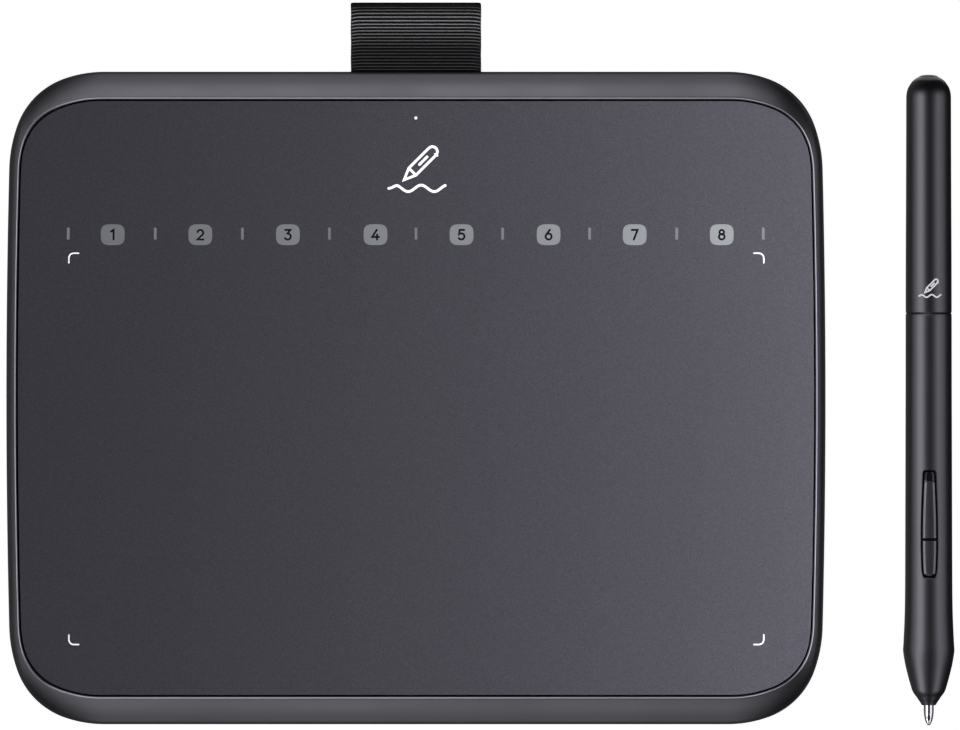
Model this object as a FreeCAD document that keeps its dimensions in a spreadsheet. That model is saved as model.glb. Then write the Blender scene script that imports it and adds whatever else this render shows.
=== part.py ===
import FreeCAD, Part
import math
import os
import sys

import Sketcher

# A pen drawing tablet with a webbing pen loop on its rear edge, and its
# battery-free pen lying beside it.  Millimetres, +Z up, Z = 0 is the table.
# The tablet's own parts are drawn about the tablet's middle and then moved to
# (tab_x, tab_y).  The pen's parts are drawn about the pen's axis, tip at 0 and
# tail at +Z, and then laid down with the tail towards +Y.

doc = FreeCAD.newDocument("pen_tablet")
V = FreeCAD.Vector

# --------------------------------------------------------------------------
# Driving dimensions
# --------------------------------------------------------------------------
SIZES = [
    # place of the tablet's middle, so that the set's box is centred on X and Y
    ("tab_x", -14.828), ("tab_y", -7.781),
    # outer outline at the parting line: half width, half depth, corner, side bow
    # each corner is three arcs: the tight middle one with its centre, and a wider
    # one on either side that eases into the straight front and the bowed side
    ("out_w", 94.237), ("out_d", 75.059), ("out_ease_a", 27.949), ("out_corner", 17.673),
    ("out_ease_c", 32.044), ("out_bow", 2124.488), ("out_cx", 75.0456), ("out_cy", 56.8181),
    # inner edge of the bezel, half way across the gap round the sheet
    ("gap_w", 91.669), ("gap_d", 68.426), ("gap_ease_a", 25.86), ("gap_corner", 13.5),
    ("gap_ease_c", 25.16), ("gap_bow", 1874.381), ("gap_cx", 77.169), ("gap_cy", 53.9599),
    ("gap_half", 0.19), ("rim_land", 0.45), ("rim_chamfer", 0.38),
    # heights
    ("foot_proud", 0.8), ("foot_recess", 0.5), ("base_z", 0.8), ("floor_z", 2.2),
    ("part_z", 5.8), ("ledge_z", 6.2), ("tape_z", 7.2), ("panel_z", 7.4),
    ("sheet_z", 8.6), ("sheet_top", 9.0), ("rim_z", 9.1),
    ("base_inset", 3.0), ("rim_slope", 0.45),
    ("wall", 2.7), ("lip", 0.72), ("lip_gap", 0.08), ("lip_tall", 0.35),
    ("ledge_wide", 2.46), ("tape_wide", 1.7),
    # screw pillars
    ("pillar_r", 2.3), ("pillar_z", 2.9), ("boss_r", 3.2),
    ("corner_sx", 74.5), ("corner_sy", 66.8), ("mid_sx", 26.0), ("mid_sy", 67.5),
    ("shank_r", 0.85), ("pilot_r", 0.87), ("head_r", 1.8), ("head_tall", 1.0),
    ("head_z", 1.4), ("bore_r", 2.0), ("screw_long", 3.4),
    # feet
    ("foot_x", 67.5), ("foot_y", 66.0), ("foot_long", 23.0), ("foot_wide", 8.6),
    ("foot_gap", 0.1),
    # digitizer board, its shield, ribs and foam
    ("board_w", 87.2), ("board_d", 63.5), ("board_cut", 8.0), ("tab_half", 12.0), ("tab_reach", 65.7),
    ("board_thick", 1.0), ("shield_thick", 0.25), ("shield_w", 85.0),
    ("shield_front", 61.0), ("shield_rear", 41.0),
    ("rib_thick", 1.2), ("rib_tall", 3.2), ("rib_half", 86.0), ("rib_front", 50.0),
    ("rib_b", 20.0), ("rib_c", 10.0), ("rib_rear", 36.0), ("rib_x", 60.0),
    ("foam_side", 12.0), ("foam_thick", 0.75),
    # controller board and port
    ("ctl_left", 90.2), ("ctl_right", 29.0), ("ctl_front", 40.0), ("ctl_rear", 58.0),
    ("ctl_z", 3.2), ("ctl_thick", 0.8), ("port_y", 48.0), ("port_z", 3.6),
    ("port_mouth", 93.15), ("port_long", 7.35), ("port_wide", 8.94), ("port_tall", 3.16),
    ("port_wall", 0.3), ("port_room", 0.17), ("tongue_wide", 6.69), ("tongue_thick", 0.7),
    ("tongue_long", 4.45), ("standoff_r", 2.0), ("small_pilot", 0.62), ("small_shank", 0.6),
    ("small_head", 1.4), ("small_tall", 0.8),
    # status light
    ("led_y", 64.37), ("led_hole", 1.15), ("light_r", 0.3), ("light_room", 0.02),
    # pen loop: webbing, clamp and slot
    ("loop_half", 15.0), ("web_thick", 0.85), ("loop_root", 0.95), ("loop_r", 3.9),
    ("loop_pivot", 76.3), ("loop_z", 4.2), ("loop_reach", 10.67),
    ("loop_in_start", 1.0), ("loop_in_root", 0.15),
    ("slot_half", 15.35), ("slot_tall", 2.1), ("tail_thick", 1.8), ("tail_in", 66.0),
    ("tail_out", 75.0), ("seat_z", 3.3), ("clamp_half", 21.0), ("clamp_thick", 0.6),
    ("clamp_sx", 18.2), ("clamp_sy", 69.0),
    # pen placing: axis from the tablet's middle, tip, height of the axis at the tip, lie
    ("pen_x", 117.97), ("pen_tip", -75.33), ("pen_rise", 6.02828), ("pen_lie", 0.34709),
    # pen joints along its axis
    ("nose_end", 4.7), ("nose_seat", 8.05), ("seam", 94.76), ("nib_hole", 1.25),
    ("nib_r", 1.157), ("nib_stem", 0.7), ("nib_shoulder", 7.6), ("nib_long", 26.6),
    ("core_r", 2.3), ("core_bore", 1.05), ("core_front", 10.2), ("core_back", 21.5),
    ("coil_r", 3.2), ("coil_front", 10.9), ("coil_back", 20.9),
    ("holder_r", 2.6), ("holder_bore", 0.72), ("holder_front", 22.1), ("holder_back", 28.1),
    ("cup_r", 2.66), ("inner_r", 4.2), ("trough_r", 3.4), ("bore_pen", 4.4),
    ("pad_front", 28.7), ("sensor_front", 29.5), ("sensor_back", 33.8), ("sensor_r", 3.35),
    ("trough_front", 34.0), ("trough_back", 87.5), ("pcb_half", 3.9), ("pcb_under", 0.7),
    ("pcb_thick", 0.8), ("pcb_back", 87.0), ("spigot_r", 4.32), ("spigot_end", 88.2),
    # side switch
    ("sw_pivot", 42.8), ("sw_depth", 4.3), ("sw_pin", 0.4), ("sw_bore", 0.46),
    ("sw_pin_half", 2.5), ("sw_top", 58.25), ("sw_bottom", 34.46), ("sw_crown", 5.75),
    ("sw_under", 4.6), ("sw_hub", 0.98), ("sw_room", 0.42), ("sw_tact_a", 50.0),
    ("sw_tact_b", 38.5), ("sw_nub", 3.2), ("tact_tall", 1.6), ("tact_top", 2.92),
]

# outside of the pen: distance from the tip and radius
PEN_OUTLINE = [
    (4.70, 1.62), (5.29, 1.967), (5.98, 2.444), (6.67, 2.898), (7.36, 3.427), (8.05, 3.818),
    (9.43, 4.232), (10.81, 4.635), (12.19, 4.98), (13.57, 5.325), (14.95, 5.589), (16.33, 5.819),
    (17.48, 5.9225), (18.4, 5.859), (19.78, 5.785), (21.85, 5.681), (23.92, 5.60), (26.45, 5.52),
    (31.05, 5.457), (40.25, 5.4165), (54.05, 5.382), (67.85, 5.3475), (81.65, 5.313), (94.76, 5.3015),
    (109.25, 5.267), (123.05, 5.2095), (136.85, 5.175), (144.67, 5.152), (145.6, 5.048), (146.51, 4.80),
    (147.43, 4.2895), (148.35, 3.588), (148.81, 2.984), (149.27, 2.179), (149.60, 1.25), (149.72, 0.0),
]
for i, (along, radius) in enumerate(PEN_OUTLINE):
    SIZES.append(("pz_%s" % chr(97 + i // 26) + chr(97 + i % 26), along))
    SIZES.append(("pr_%s" % chr(97 + i // 26) + chr(97 + i % 26), radius))

# tip of the nib
NIB_OUTLINE = [(0.0, 0.0), (0.46, 0.4255), (1.15, 0.7475), (1.84, 0.92), (2.53, 1.0465), (3.22, 1.1385), (4.6, 1.157)]
for i, (along, radius) in enumerate(NIB_OUTLINE):
    SIZES.append(("nz_%s" % chr(97 + i), along))
    SIZES.append(("nr_%s" % chr(97 + i), radius))

# half widths of the side switch along the pen
SWITCH_OUTLINE = [(34.46, 0.86), (34.9, 1.23), (36.2, 1.38), (40.5, 1.52), (44.5, 1.525), (48.5, 1.44), (53.0, 1.23), (57.0, 1.00), (57.85, 0.92), (58.25, 0.62)]
for i, (along, half) in enumerate(SWITCH_OUTLINE):
    SIZES.append(("sz_%s" % chr(97 + i), along))
    SIZES.append(("sx_%s" % chr(97 + i), half))

sheet = doc.addObject("Spreadsheet::Sheet", "Sizes")
numbers = {}
for row, (alias, value) in enumerate(SIZES, start=1):
    sheet.set("A%d" % row, alias)
    sheet.set("B%d" % row, repr(value))
    sheet.setAlias("B%d" % row, alias)
    numbers[alias] = value
doc.recompute()


class Size:
    """A number together with the sheet expression that gives it."""

    def __init__(self, value, text):
        self.value = float(value)
        self.text = text

    @staticmethod
    def of(other):
        if isinstance(other, Size):
            return other
        return Size(other, "(%s)" % repr(round(float(other), 6)))

    def __add__(self, other):
        other = Size.of(other)
        return Size(self.value + other.value, "(%s + %s)" % (self.text, other.text))

    __radd__ = __add__

    def __sub__(self, other):
        other = Size.of(other)
        return Size(self.value - other.value, "(%s - %s)" % (self.text, other.text))

    def __rsub__(self, other):
        return Size.of(other) - self

    def __mul__(self, other):
        other = Size.of(other)
        return Size(self.value * other.value, "(%s * %s)" % (self.text, other.text))

    __rmul__ = __mul__

    def __truediv__(self, other):
        other = Size.of(other)
        return Size(self.value / other.value, "(%s / %s)" % (self.text, other.text))

    def __neg__(self):
        return Size(-self.value, "(0 - %s)" % self.text)


class Sheet:
    def __getattr__(self, alias):
        return Size(float(sheet.get(alias)), "Sizes." + alias)


S = Sheet()
ZERO = Size(0.0, "0")
parts = []


def bind(feature, prop, size):
    size = Size.of(size)
    feature.setExpression(prop, size.text)


# --------------------------------------------------------------------------
# Drawing helpers
# --------------------------------------------------------------------------
def new_body(label):
    made = doc.addObject("PartDesign::Body", label)
    made.Label = label
    parts.append(made)
    return made


def origin_plane(body, role):
    for feature in body.Origin.OriginFeatures:
        if feature.Role == role:
            return feature
    raise RuntimeError(role)


def sketch_on(body, role, offset=0.0):
    """Sketch on one of the body's own origin planes, moved along its normal."""
    made = body.newObject("Sketcher::SketchObject", "sketch")
    made.AttachmentSupport = [(origin_plane(body, role), "")]
    made.MapMode = "FlatFace"
    offset = Size.of(offset)
    made.AttachmentOffset = FreeCAD.Placement(V(0, 0, offset.value), FreeCAD.Rotation())
    bind(made, "AttachmentOffset.Base.z", offset)
    return made


def hold_x(sketch, geo, point, size):
    size = Size.of(size)
    if abs(size.value) < 1e-9:
        sketch.addConstraint(Sketcher.Constraint("PointOnObject", geo, point, -2))
    else:
        index = sketch.addConstraint(Sketcher.Constraint("DistanceX", geo, point, size.value))
        bind(sketch, "Constraints[%d]" % index, size)


def hold_y(sketch, geo, point, size):
    size = Size.of(size)
    if abs(size.value) < 1e-9:
        sketch.addConstraint(Sketcher.Constraint("PointOnObject", geo, point, -1))
    else:
        index = sketch.addConstraint(Sketcher.Constraint("DistanceY", geo, point, size.value))
        bind(sketch, "Constraints[%d]" % index, size)


def hold_radius(sketch, geo, size):
    size = Size.of(size)
    index = sketch.addConstraint(Sketcher.Constraint("Radius", geo, size.value))
    bind(sketch, "Constraints[%d]" % index, size)


def polygon(sketch, points):
    """Closed run of straight lines, each corner held by its two coordinates."""
    points = [(Size.of(x), Size.of(y)) for x, y in points]
    count = len(points)
    first = sketch.GeometryCount
    for i in range(count):
        a, b = points[i], points[(i + 1) % count]
        sketch.addGeometry(Part.LineSegment(V(a[0].value, a[1].value, 0), V(b[0].value, b[1].value, 0)), False)
    for i in range(count):
        sketch.addConstraint(Sketcher.Constraint("Coincident", first + i, 2, first + (i + 1) % count, 1))
    for i, (x, y) in enumerate(points):
        hold_x(sketch, first + i, 1, x)
        hold_y(sketch, first + i, 1, y)


def rectangle(sketch, x0, y0, x1, y1):
    polygon(sketch, [(x0, y0), (x1, y0), (x1, y1), (x0, y1)])


def circle(sketch, x, y, radius):
    x, y, radius = Size.of(x), Size.of(y), Size.of(radius)
    geo = sketch.addGeometry(Part.Circle(V(x.value, y.value, 0), V(0, 0, 1), radius.value), False)
    hold_x(sketch, geo, 3, x)
    hold_y(sketch, geo, 3, y)
    hold_radius(sketch, geo, radius)


def stadium(sketch, x, y, long, wide):
    """Slot shape lying along the sketch's X: two half circles and two lines."""
    x, y, long, wide = Size.of(x), Size.of(y), Size.of(long), Size.of(wide)
    r = wide / 2
    left, right = x - long / 2 + r, x + long / 2 - r
    first = sketch.GeometryCount
    sketch.addGeometry(Part.LineSegment(V(left.value, (y - r).value, 0), V(right.value, (y - r).value, 0)), False)
    sketch.addGeometry(Part.ArcOfCircle(Part.Circle(V(right.value, y.value, 0), V(0, 0, 1), r.value), -math.pi / 2, math.pi / 2), False)
    sketch.addGeometry(Part.LineSegment(V(right.value, (y + r).value, 0), V(left.value, (y + r).value, 0)), False)
    sketch.addGeometry(Part.ArcOfCircle(Part.Circle(V(left.value, y.value, 0), V(0, 0, 1), r.value), math.pi / 2, 3 * math.pi / 2), False)
    for i in range(4):
        sketch.addConstraint(Sketcher.Constraint("Tangent", first + i, 2, first + (i + 1) % 4, 1))
    hold_x(sketch, first + 1, 3, right)
    hold_y(sketch, first + 1, 3, y)
    hold_x(sketch, first + 3, 3, left)
    hold_y(sketch, first + 3, 3, y)
    hold_radius(sketch, first + 1, r)


def family(prefix):
    """Half width, half depth, rear easing arc, corner arc, side easing arc, side bow, corner centre."""
    return [getattr(S, prefix + name) for name in ("_w", "_d", "_ease_a", "_corner", "_ease_c", "_bow", "_cx", "_cy")]


def grown(values, grow):
    """The same outline moved outwards by grow: the radii grow, the centres stay."""
    return [value + grow for value in values[:6]] + values[6:]


def between(one, two, share):
    return [a + (b - a) * share for a, b in zip(one, two)]


def outline(sketch, values):
    """The tablet's outline: straight front and rear, bowed sides, eased corners."""
    w, d, ra, rb, rc, rs, cx, cy = [Size.of(v) for v in values]
    side = w - rs
    # turns at which the side arc and the easing arc end
    t0, t1 = 0.025, 0.35
    for _ in range(60):
        gx = side.value + (rs.value - rc.value) * math.cos(t0) + (rc.value - rb.value) * math.cos(t1) - cx.value
        gy = (rs.value - rc.value) * math.sin(t0) + (rc.value - rb.value) * math.sin(t1) - cy.value
        a, b = -(rs.value - rc.value) * math.sin(t0), -(rc.value - rb.value) * math.sin(t1)
        c, e = (rs.value - rc.value) * math.cos(t0), (rc.value - rb.value) * math.cos(t1)
        det = a * e - b * c
        t0, t1 = t0 - (gx * e - gy * b) / det, t1 - (a * gy - c * gx) / det
    t2 = math.asin((cy.value - d.value + ra.value) / (ra.value - rb.value))
    ccx = side.value + (rs.value - rc.value) * math.cos(t0)
    ccy = (rs.value - rc.value) * math.sin(t0)
    cax = cx.value - (ra.value - rb.value) * math.cos(t2)
    cay = d.value - ra.value
    first = sketch.GeometryCount
    half, turn = math.pi / 2, math.pi

    def arc(x, y, radius, a0, a1):
        sketch.addGeometry(Part.ArcOfCircle(Part.Circle(V(x, y, 0), V(0, 0, 1), radius), a0, a1), False)

    arc(side.value, 0, rs.value, -t0, t0)                                        # 0 right side
    arc(ccx, ccy, rc.value, t0, t1)
    arc(cx.value, cy.value, rb.value, t1, t2)                                    # 2
    arc(cax, cay, ra.value, t2, half)
    sketch.addGeometry(Part.LineSegment(V(cax, d.value, 0), V(-cax, d.value, 0)), False)   # 4 rear
    arc(-cax, cay, ra.value, half, turn - t2)
    arc(-cx.value, cy.value, rb.value, turn - t2, turn - t1)                     # 6
    arc(-ccx, ccy, rc.value, turn - t1, turn - t0)
    arc(-side.value, 0, rs.value, turn - t0, turn + t0)                          # 8 left side
    arc(-ccx, -ccy, rc.value, turn + t0, turn + t1)
    arc(-cx.value, -cy.value, rb.value, turn + t1, turn + t2)                    # 10
    arc(-cax, -cay, ra.value, turn + t2, 3 * half)
    sketch.addGeometry(Part.LineSegment(V(-cax, -d.value, 0), V(cax, -d.value, 0)), False)  # 12 front
    arc(cax, -cay, ra.value, 3 * half, 2 * turn - t2)
    arc(cx.value, -cy.value, rb.value, 2 * turn - t2, 2 * turn - t1)             # 14
    arc(ccx, -ccy, rc.value, 2 * turn - t1, 2 * turn - t0)
    for i in range(16):
        sketch.addConstraint(Sketcher.Constraint("Tangent", first + i, 2, first + (i + 1) % 16, 1))
    for geo, x in ((0, side), (8, -side)):
        hold_x(sketch, first + geo, 3, x)
        hold_y(sketch, first + geo, 3, 0.0)
        hold_radius(sketch, first + geo, rs)
    for geo, x, y in ((2, cx, cy), (6, -cx, cy), (10, -cx, -cy), (14, cx, -cy)):
        hold_x(sketch, first + geo, 3, x)
        hold_y(sketch, first + geo, 3, y)
        hold_radius(sketch, first + geo, rb)
    for geo, radius in ((1, rc), (3, ra), (5, ra), (7, rc), (9, rc), (11, ra), (13, ra), (15, rc)):
        hold_radius(sketch, first + geo, radius)
    for geo, y in ((4, d), (12, -d)):
        sketch.addConstraint(Sketcher.Constraint("Horizontal", first + geo))
        hold_y(sketch, first + geo, 1, y)


def gap_outline(sketch, grow):
    """The sheet's outline, grown outwards by the given amount."""
    outline(sketch, grown(family("gap"), grow))


def out_outline(sketch, grow):
    outline(sketch, grown(family("out"), grow))


def pad(body, sketch, length, back=False):
    made = body.newObject("PartDesign::Pad", "pad")
    made.Profile = sketch
    made.Reversed = back
    bind(made, "Length", length)
    sketch.Visibility = False
    return made


def pocket(body, sketch, length, back=False):
    """Cut that runs against the sketch's normal, or along it with back."""
    made = body.newObject("PartDesign::Pocket", "pocket")
    made.Profile = sketch
    made.Reversed = back
    bind(made, "Length", length)
    return made


def revolve(body, sketch):
    made = body.newObject("PartDesign::Revolution", "revolution")
    made.Profile = sketch
    made.ReferenceAxis = (sketch, ["V_Axis"])
    made.Angle = 360.0
    return made


def loft(body, sketches):
    made = body.newObject("PartDesign::AdditiveLoft", "loft")
    made.Profile = sketches[0]
    made.Sections = sketches[1:]
    made.Ruled = False
    return made


def on_tablet(body):
    bind(body, "Placement.Base.x", S.tab_x)
    bind(body, "Placement.Base.y", S.tab_y)


def on_pen(body):
    """Lay a part of the pen down: its +Z to the rear, its -Y to the top."""
    body.Placement = FreeCAD.Placement(
        V(0, 0, 0), FreeCAD.Rotation(V(1, 0, 0), -(90.0 + S.pen_lie.value)))
    bind(body, "Placement.Base.x", S.tab_x + S.pen_x)
    bind(body, "Placement.Base.y", S.tab_y + S.pen_tip)
    bind(body, "Placement.Base.z", S.pen_rise)


def blocks(label, z0, tall, boxes):
    """Body of one or more upright blocks, each given as x0, y0, x1, y1."""
    body = new_body(label)
    sketch = sketch_on(body, "XY_Plane", z0)
    for x0, y0, x1, y1 in boxes:
        rectangle(sketch, x0, y0, x1, y1)
    pad(body, sketch, tall)
    return body


def several(label, solids):
    """A group of separate solids in one node, made from Part shapes."""
    made = doc.addObject("Part::Feature", label)
    made.Label = label
    made.Shape = Part.makeCompound(solids)
    parts.append(made)
    return made


def screw(x, y, head_z, head_r, head_tall, shank_r, shank_long, up=True):
    """Round-head screw with a hexagon socket; its shank points up or down."""
    step = 1.0 if up else -1.0
    head = Part.makeCylinder(head_r, head_tall, V(x, y, head_z), V(0, 0, step))
    shank = Part.makeCylinder(shank_r, shank_long, V(x, y, head_z + step * head_tall), V(0, 0, step))
    across = head_r * 0.5
    corners = [V(x + across * math.cos(k * math.pi / 3), y + across * math.sin(k * math.pi / 3), head_z) for k in range(7)]
    socket = Part.Face(Part.makePolygon(corners)).extrude(V(0, 0, step * head_tall * 0.55))
    return head.fuse(shank).cut(socket).removeSplitter()


# --------------------------------------------------------------------------
# Top frame: rolled-off bezel, sheet opening, ledge, screw pillars
# --------------------------------------------------------------------------
frame = new_body("top_frame")
sections = []
rim_tall = S.rim_z - S.part_z
for t in (1.0, 0.9, 0.78, 0.62, 0.42, 0.2, 0.0):
    # curve from the rim, leaving at a slope, to upright at the parting line
    u = 2 * t * (1 - t) + t * t
    fall_a, fall_b = (1 - t) ** 2, 2 * t * (1 - t)
    height = S.part_z + rim_tall * (fall_a + fall_b * (1.0 - S.rim_slope))
    grow = S.gap_half + S.rim_land
    sk = sketch_on(frame, "XY_Plane", height)
    outline(sk, between(grown(family("gap"), grow), family("out"), u))
    sections.append(sk)
loft(frame, sections)
sk = sketch_on(frame, "XY_Plane", S.rim_z)
gap_outline(sk, S.gap_half)
pocket(frame, sk, S.rim_z - S.tape_z)
sk = sketch_on(frame, "XY_Plane", S.rim_z)
gap_outline(sk, S.gap_half - S.ledge_wide)
pocket(frame, sk, S.rim_z - S.part_z + 1.0)
sk = sketch_on(frame, "XY_Plane", S.part_z)
out_outline(sk, S.lip + S.lip_gap - S.wall)
pocket(frame, sk, S.ledge_z - S.part_z, back=True)

screw_xy = []
for sx in (-1, 1):
    for sy in (-1, 1):
        screw_xy.append((S.corner_sx * sx, S.corner_sy * sy))
        screw_xy.append((S.mid_sx * sx, S.mid_sy * sy))
sk = sketch_on(frame, "XY_Plane", S.pillar_z)
for x, y in screw_xy:
    circle(sk, x, y, S.pillar_r)
pad(frame, sk, S.ledge_z - S.pillar_z)
sk = sketch_on(frame, "XY_Plane", S.pillar_z)
for x, y in screw_xy:
    circle(sk, x, y, S.pilot_r)
pocket(frame, sk, S.screw_long, back=True)
# fine bright bevel along the inner top edge
low = sketch_on(frame, "XY_Plane", S.rim_z - S.rim_chamfer)
gap_outline(low, S.gap_half)
high = sketch_on(frame, "XY_Plane", S.rim_z + 0.05)
gap_outline(high, S.gap_half + S.rim_chamfer + 0.05)
bevel = frame.newObject("PartDesign::SubtractiveLoft", "rim_bevel")
bevel.Profile = low
bevel.Sections = [high]
bevel.Ruled = True
on_tablet(frame)

# --------------------------------------------------------------------------
# Drawing sheet, stiff panel behind it and the tape that holds them
# --------------------------------------------------------------------------
film = new_body("drawing_sheet")
sk = sketch_on(film, "XY_Plane", S.sheet_z)
gap_outline(sk, -S.gap_half)
circle(sk, 0.0, S.led_y, S.light_r + S.light_room)
pad(film, sk, S.sheet_top - S.sheet_z)
on_tablet(film)

panel = new_body("support_panel")
sk = sketch_on(panel, "XY_Plane", S.panel_z)
gap_outline(sk, -0.1 - S.gap_half)
circle(sk, 0.0, S.led_y, S.led_hole)
pad(panel, sk, S.sheet_z - S.panel_z)
on_tablet(panel)

tape = new_body("panel_tape")
sk = sketch_on(tape, "XY_Plane", S.tape_z)
gap_outline(sk, -0.1 - S.gap_half)
gap_outline(sk, -0.1 - S.gap_half - S.tape_wide)
pad(tape, sk, S.panel_z - S.tape_z)
on_tablet(tape)

# --------------------------------------------------------------------------
# Digitizer board and what is on and under it
# --------------------------------------------------------------------------
digit = new_body("digitizer_board")
sk = sketch_on(digit, "XY_Plane", S.panel_z - S.board_thick)
polygon(sk, [(-S.board_w + S.board_cut, -S.board_d), (S.board_w - S.board_cut, -S.board_d),
             (S.board_w, -S.board_d + S.board_cut), (S.board_w, S.board_d - S.board_cut),
             (S.board_w - S.board_cut, S.board_d), (S.tab_half, S.board_d), (S.tab_half, S.tab_reach),
             (-S.tab_half, S.tab_reach), (-S.tab_half, S.board_d), (-S.board_w + S.board_cut, S.board_d),
             (-S.board_w, S.board_d - S.board_cut), (-S.board_w, -S.board_d + S.board_cut)])
pad(digit, sk, S.board_thick)
on_tablet(digit)

under_board = S.panel_z - S.board_thick
shield = new_body("shield_plate")
sk = sketch_on(shield, "XY_Plane", under_board - S.shield_thick)
polygon(sk, [(-S.shield_w + 5.0, -S.shield_front), (S.shield_w - 5.0, -S.shield_front), (S.shield_w, -S.shield_front + 5.0),
             (S.shield_w, S.shield_rear), (-S.shield_w, S.shield_rear), (-S.shield_w, -S.shield_front + 5.0)])
pad(shield, sk, S.shield_thick)
on_tablet(shield)

chips = blocks("switch_chips", under_board - 1.0, 1.0,
               [(8.0 + 20 * k, 50.0, 13.0 + 20 * k, 54.4) for k in range(4)])
on_tablet(chips)

led = blocks("status_led", S.panel_z, 0.55, [(-0.8, S.led_y - 0.4, 0.8, S.led_y + 0.4)])
on_tablet(led)

pipe = new_body("light_pipe")
sk = sketch_on(pipe, "XZ_Plane", 0.0)
polygon(sk, [(0.0, S.panel_z + 0.65), (0.95, S.panel_z + 0.65), (0.95, S.sheet_z - 0.05),
             (S.light_r, S.sheet_z - 0.05), (S.light_r, S.sheet_top), (0.0, S.sheet_top)])
revolve(pipe, sk)
bind(pipe, "Placement.Base.x", S.tab_x)
bind(pipe, "Placement.Base.y", S.tab_y + S.led_y)

rib_y = [-S.rib_front, -S.rib_b, S.rib_c, S.rib_rear]
rib_x = [-S.rib_x, ZERO, S.rib_x]
foam = blocks("foam_pads", S.floor_z + S.rib_tall, S.foam_thick,
              [(x - S.foam_side / 2, y - S.foam_side / 2, x + S.foam_side / 2, y + S.foam_side / 2)
               for x in rib_x for y in rib_y])
on_tablet(foam)

# --------------------------------------------------------------------------
# Bottom cover
# --------------------------------------------------------------------------
cover = new_body("bottom_cover")
sections = []
for degrees in (90.0, 74.0, 56.0, 36.0, 18.0, 0.0):
    turn = math.radians(degrees)
    height = S.part_z - (S.part_z - S.base_z) * math.sin(turn)
    inset = S.base_inset * (1.0 - math.cos(turn))
    sk = sketch_on(cover, "XY_Plane", height)
    out_outline(sk, -inset)
    sections.append(sk)
loft(cover, sections)
sk = sketch_on(cover, "XY_Plane", S.part_z)
out_outline(sk, -S.wall)
pocket(cover, sk, S.part_z - S.floor_z)
# lip that locates the frame
sk = sketch_on(cover, "XY_Plane", S.part_z - 0.2)
out_outline(sk, S.lip - S.wall)
out_outline(sk, -S.wall)
pad(cover, sk, S.lip_tall + 0.2)
# ribs
sk = sketch_on(cover, "XY_Plane", S.floor_z)
for y in rib_y:
    rectangle(sk, -S.rib_half, y - S.rib_thick / 2, S.rib_half, y + S.rib_thick / 2)
pad(cover, sk, S.rib_tall)
sk = sketch_on(cover, "XY_Plane", S.floor_z)
for x in rib_x:
    rectangle(sk, x - S.rib_thick / 2, -S.rib_front, x + S.rib_thick / 2, S.rib_rear)
pad(cover, sk, S.rib_tall)
# screw bosses, board standoffs
sk = sketch_on(cover, "XY_Plane", S.floor_z)
for x, y in screw_xy:
    circle(sk, x, y, S.boss_r)
pad(cover, sk, S.pillar_z - S.floor_z)
standoff_xy = [(-79.0, 55.0), (-32.5, 55.0), (-32.5, 43.0)]
sk = sketch_on(cover, "XY_Plane", S.floor_z)
for x, y in standoff_xy:
    circle(sk, x, y, S.standoff_r)
pad(cover, sk, S.ctl_z - S.floor_z)
# seat for the pen loop's tail, with a post each side
sk = sketch_on(cover, "XY_Plane", S.floor_z)
rectangle(sk, -S.clamp_half, 65.0, S.clamp_half, S.out_d - S.wall + 0.3)
pad(cover, sk, S.seat_z - S.floor_z)
sk = sketch_on(cover, "XY_Plane", S.seat_z - 0.2)
for side in (-1, 1):
    inner, outer = (S.slot_half + 0.15) * side, S.clamp_half * side
    low, high = (inner, outer) if side > 0 else (outer, inner)
    rectangle(sk, low, 66.0, high, S.out_d - S.wall + 0.3)
pad(cover, sk, S.seat_z + S.tail_thick - S.seat_z + 0.2)
# foot recesses
sk = sketch_on(cover, "XY_Plane", S.base_z)
for sx in (-1, 1):
    for sy in (-1, 1):
        stadium(sk, S.foot_x * sx, S.foot_y * sy, S.foot_long, S.foot_wide)
pocket(cover, sk, S.foot_recess, back=True)
# screw holes with head recesses
sk = sketch_on(cover, "XY_Plane", S.base_z)
for x, y in screw_xy:
    circle(sk, x, y, S.bore_r)
pocket(cover, sk, S.head_z + S.head_tall - S.base_z, back=True)
sk = sketch_on(cover, "XY_Plane", S.base_z)
for x, y in screw_xy:
    circle(sk, x, y, 1.1)
pocket(cover, sk, S.pillar_z - S.base_z + 0.2, back=True)
sk = sketch_on(cover, "XY_Plane", S.ctl_z)
for x, y in standoff_xy:
    circle(sk, x, y, S.small_pilot)
pocket(cover, sk, 0.9)
sk = sketch_on(cover, "XY_Plane", S.seat_z + S.tail_thick)
for side in (-1, 1):
    circle(sk, S.clamp_sx * side, S.clamp_sy, S.small_pilot)
pocket(cover, sk, 3.0)
# port opening through the left wall, and room under the receptacle
sk = sketch_on(cover, "YZ_Plane", -S.out_w - 1.0)
stadium(sk, S.port_y, S.port_z, S.port_wide + S.port_room * 2, S.port_tall + S.port_room * 2)
pocket(cover, sk, 6.0, back=True)
sk = sketch_on(cover, "XY_Plane", S.floor_z)
rectangle(sk, -S.out_w + 3.4, S.port_y - 4.8, -S.port_mouth + S.port_long + 0.6, S.port_y + 4.8)
pocket(cover, sk, 0.5)
# slot for the pen loop through the rear wall
sk = sketch_on(cover, "XZ_Plane", -S.out_d - 1.0)
rectangle(sk, -S.slot_half, S.loop_z - S.slot_tall / 2, S.slot_half, S.loop_z + S.slot_tall / 2)
pocket(cover, sk, S.wall + 1.2, back=True)
on_tablet(cover)

feet = new_body("rubber_feet")
sk = sketch_on(feet, "XY_Plane", 0.0)
for sx in (-1, 1):
    for sy in (-1, 1):
        stadium(sk, S.foot_x * sx, S.foot_y * sy, S.foot_long - S.foot_gap * 2, S.foot_wide - S.foot_gap * 2)
pad(feet, sk, S.foot_proud + S.foot_recess)
on_tablet(feet)

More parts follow.
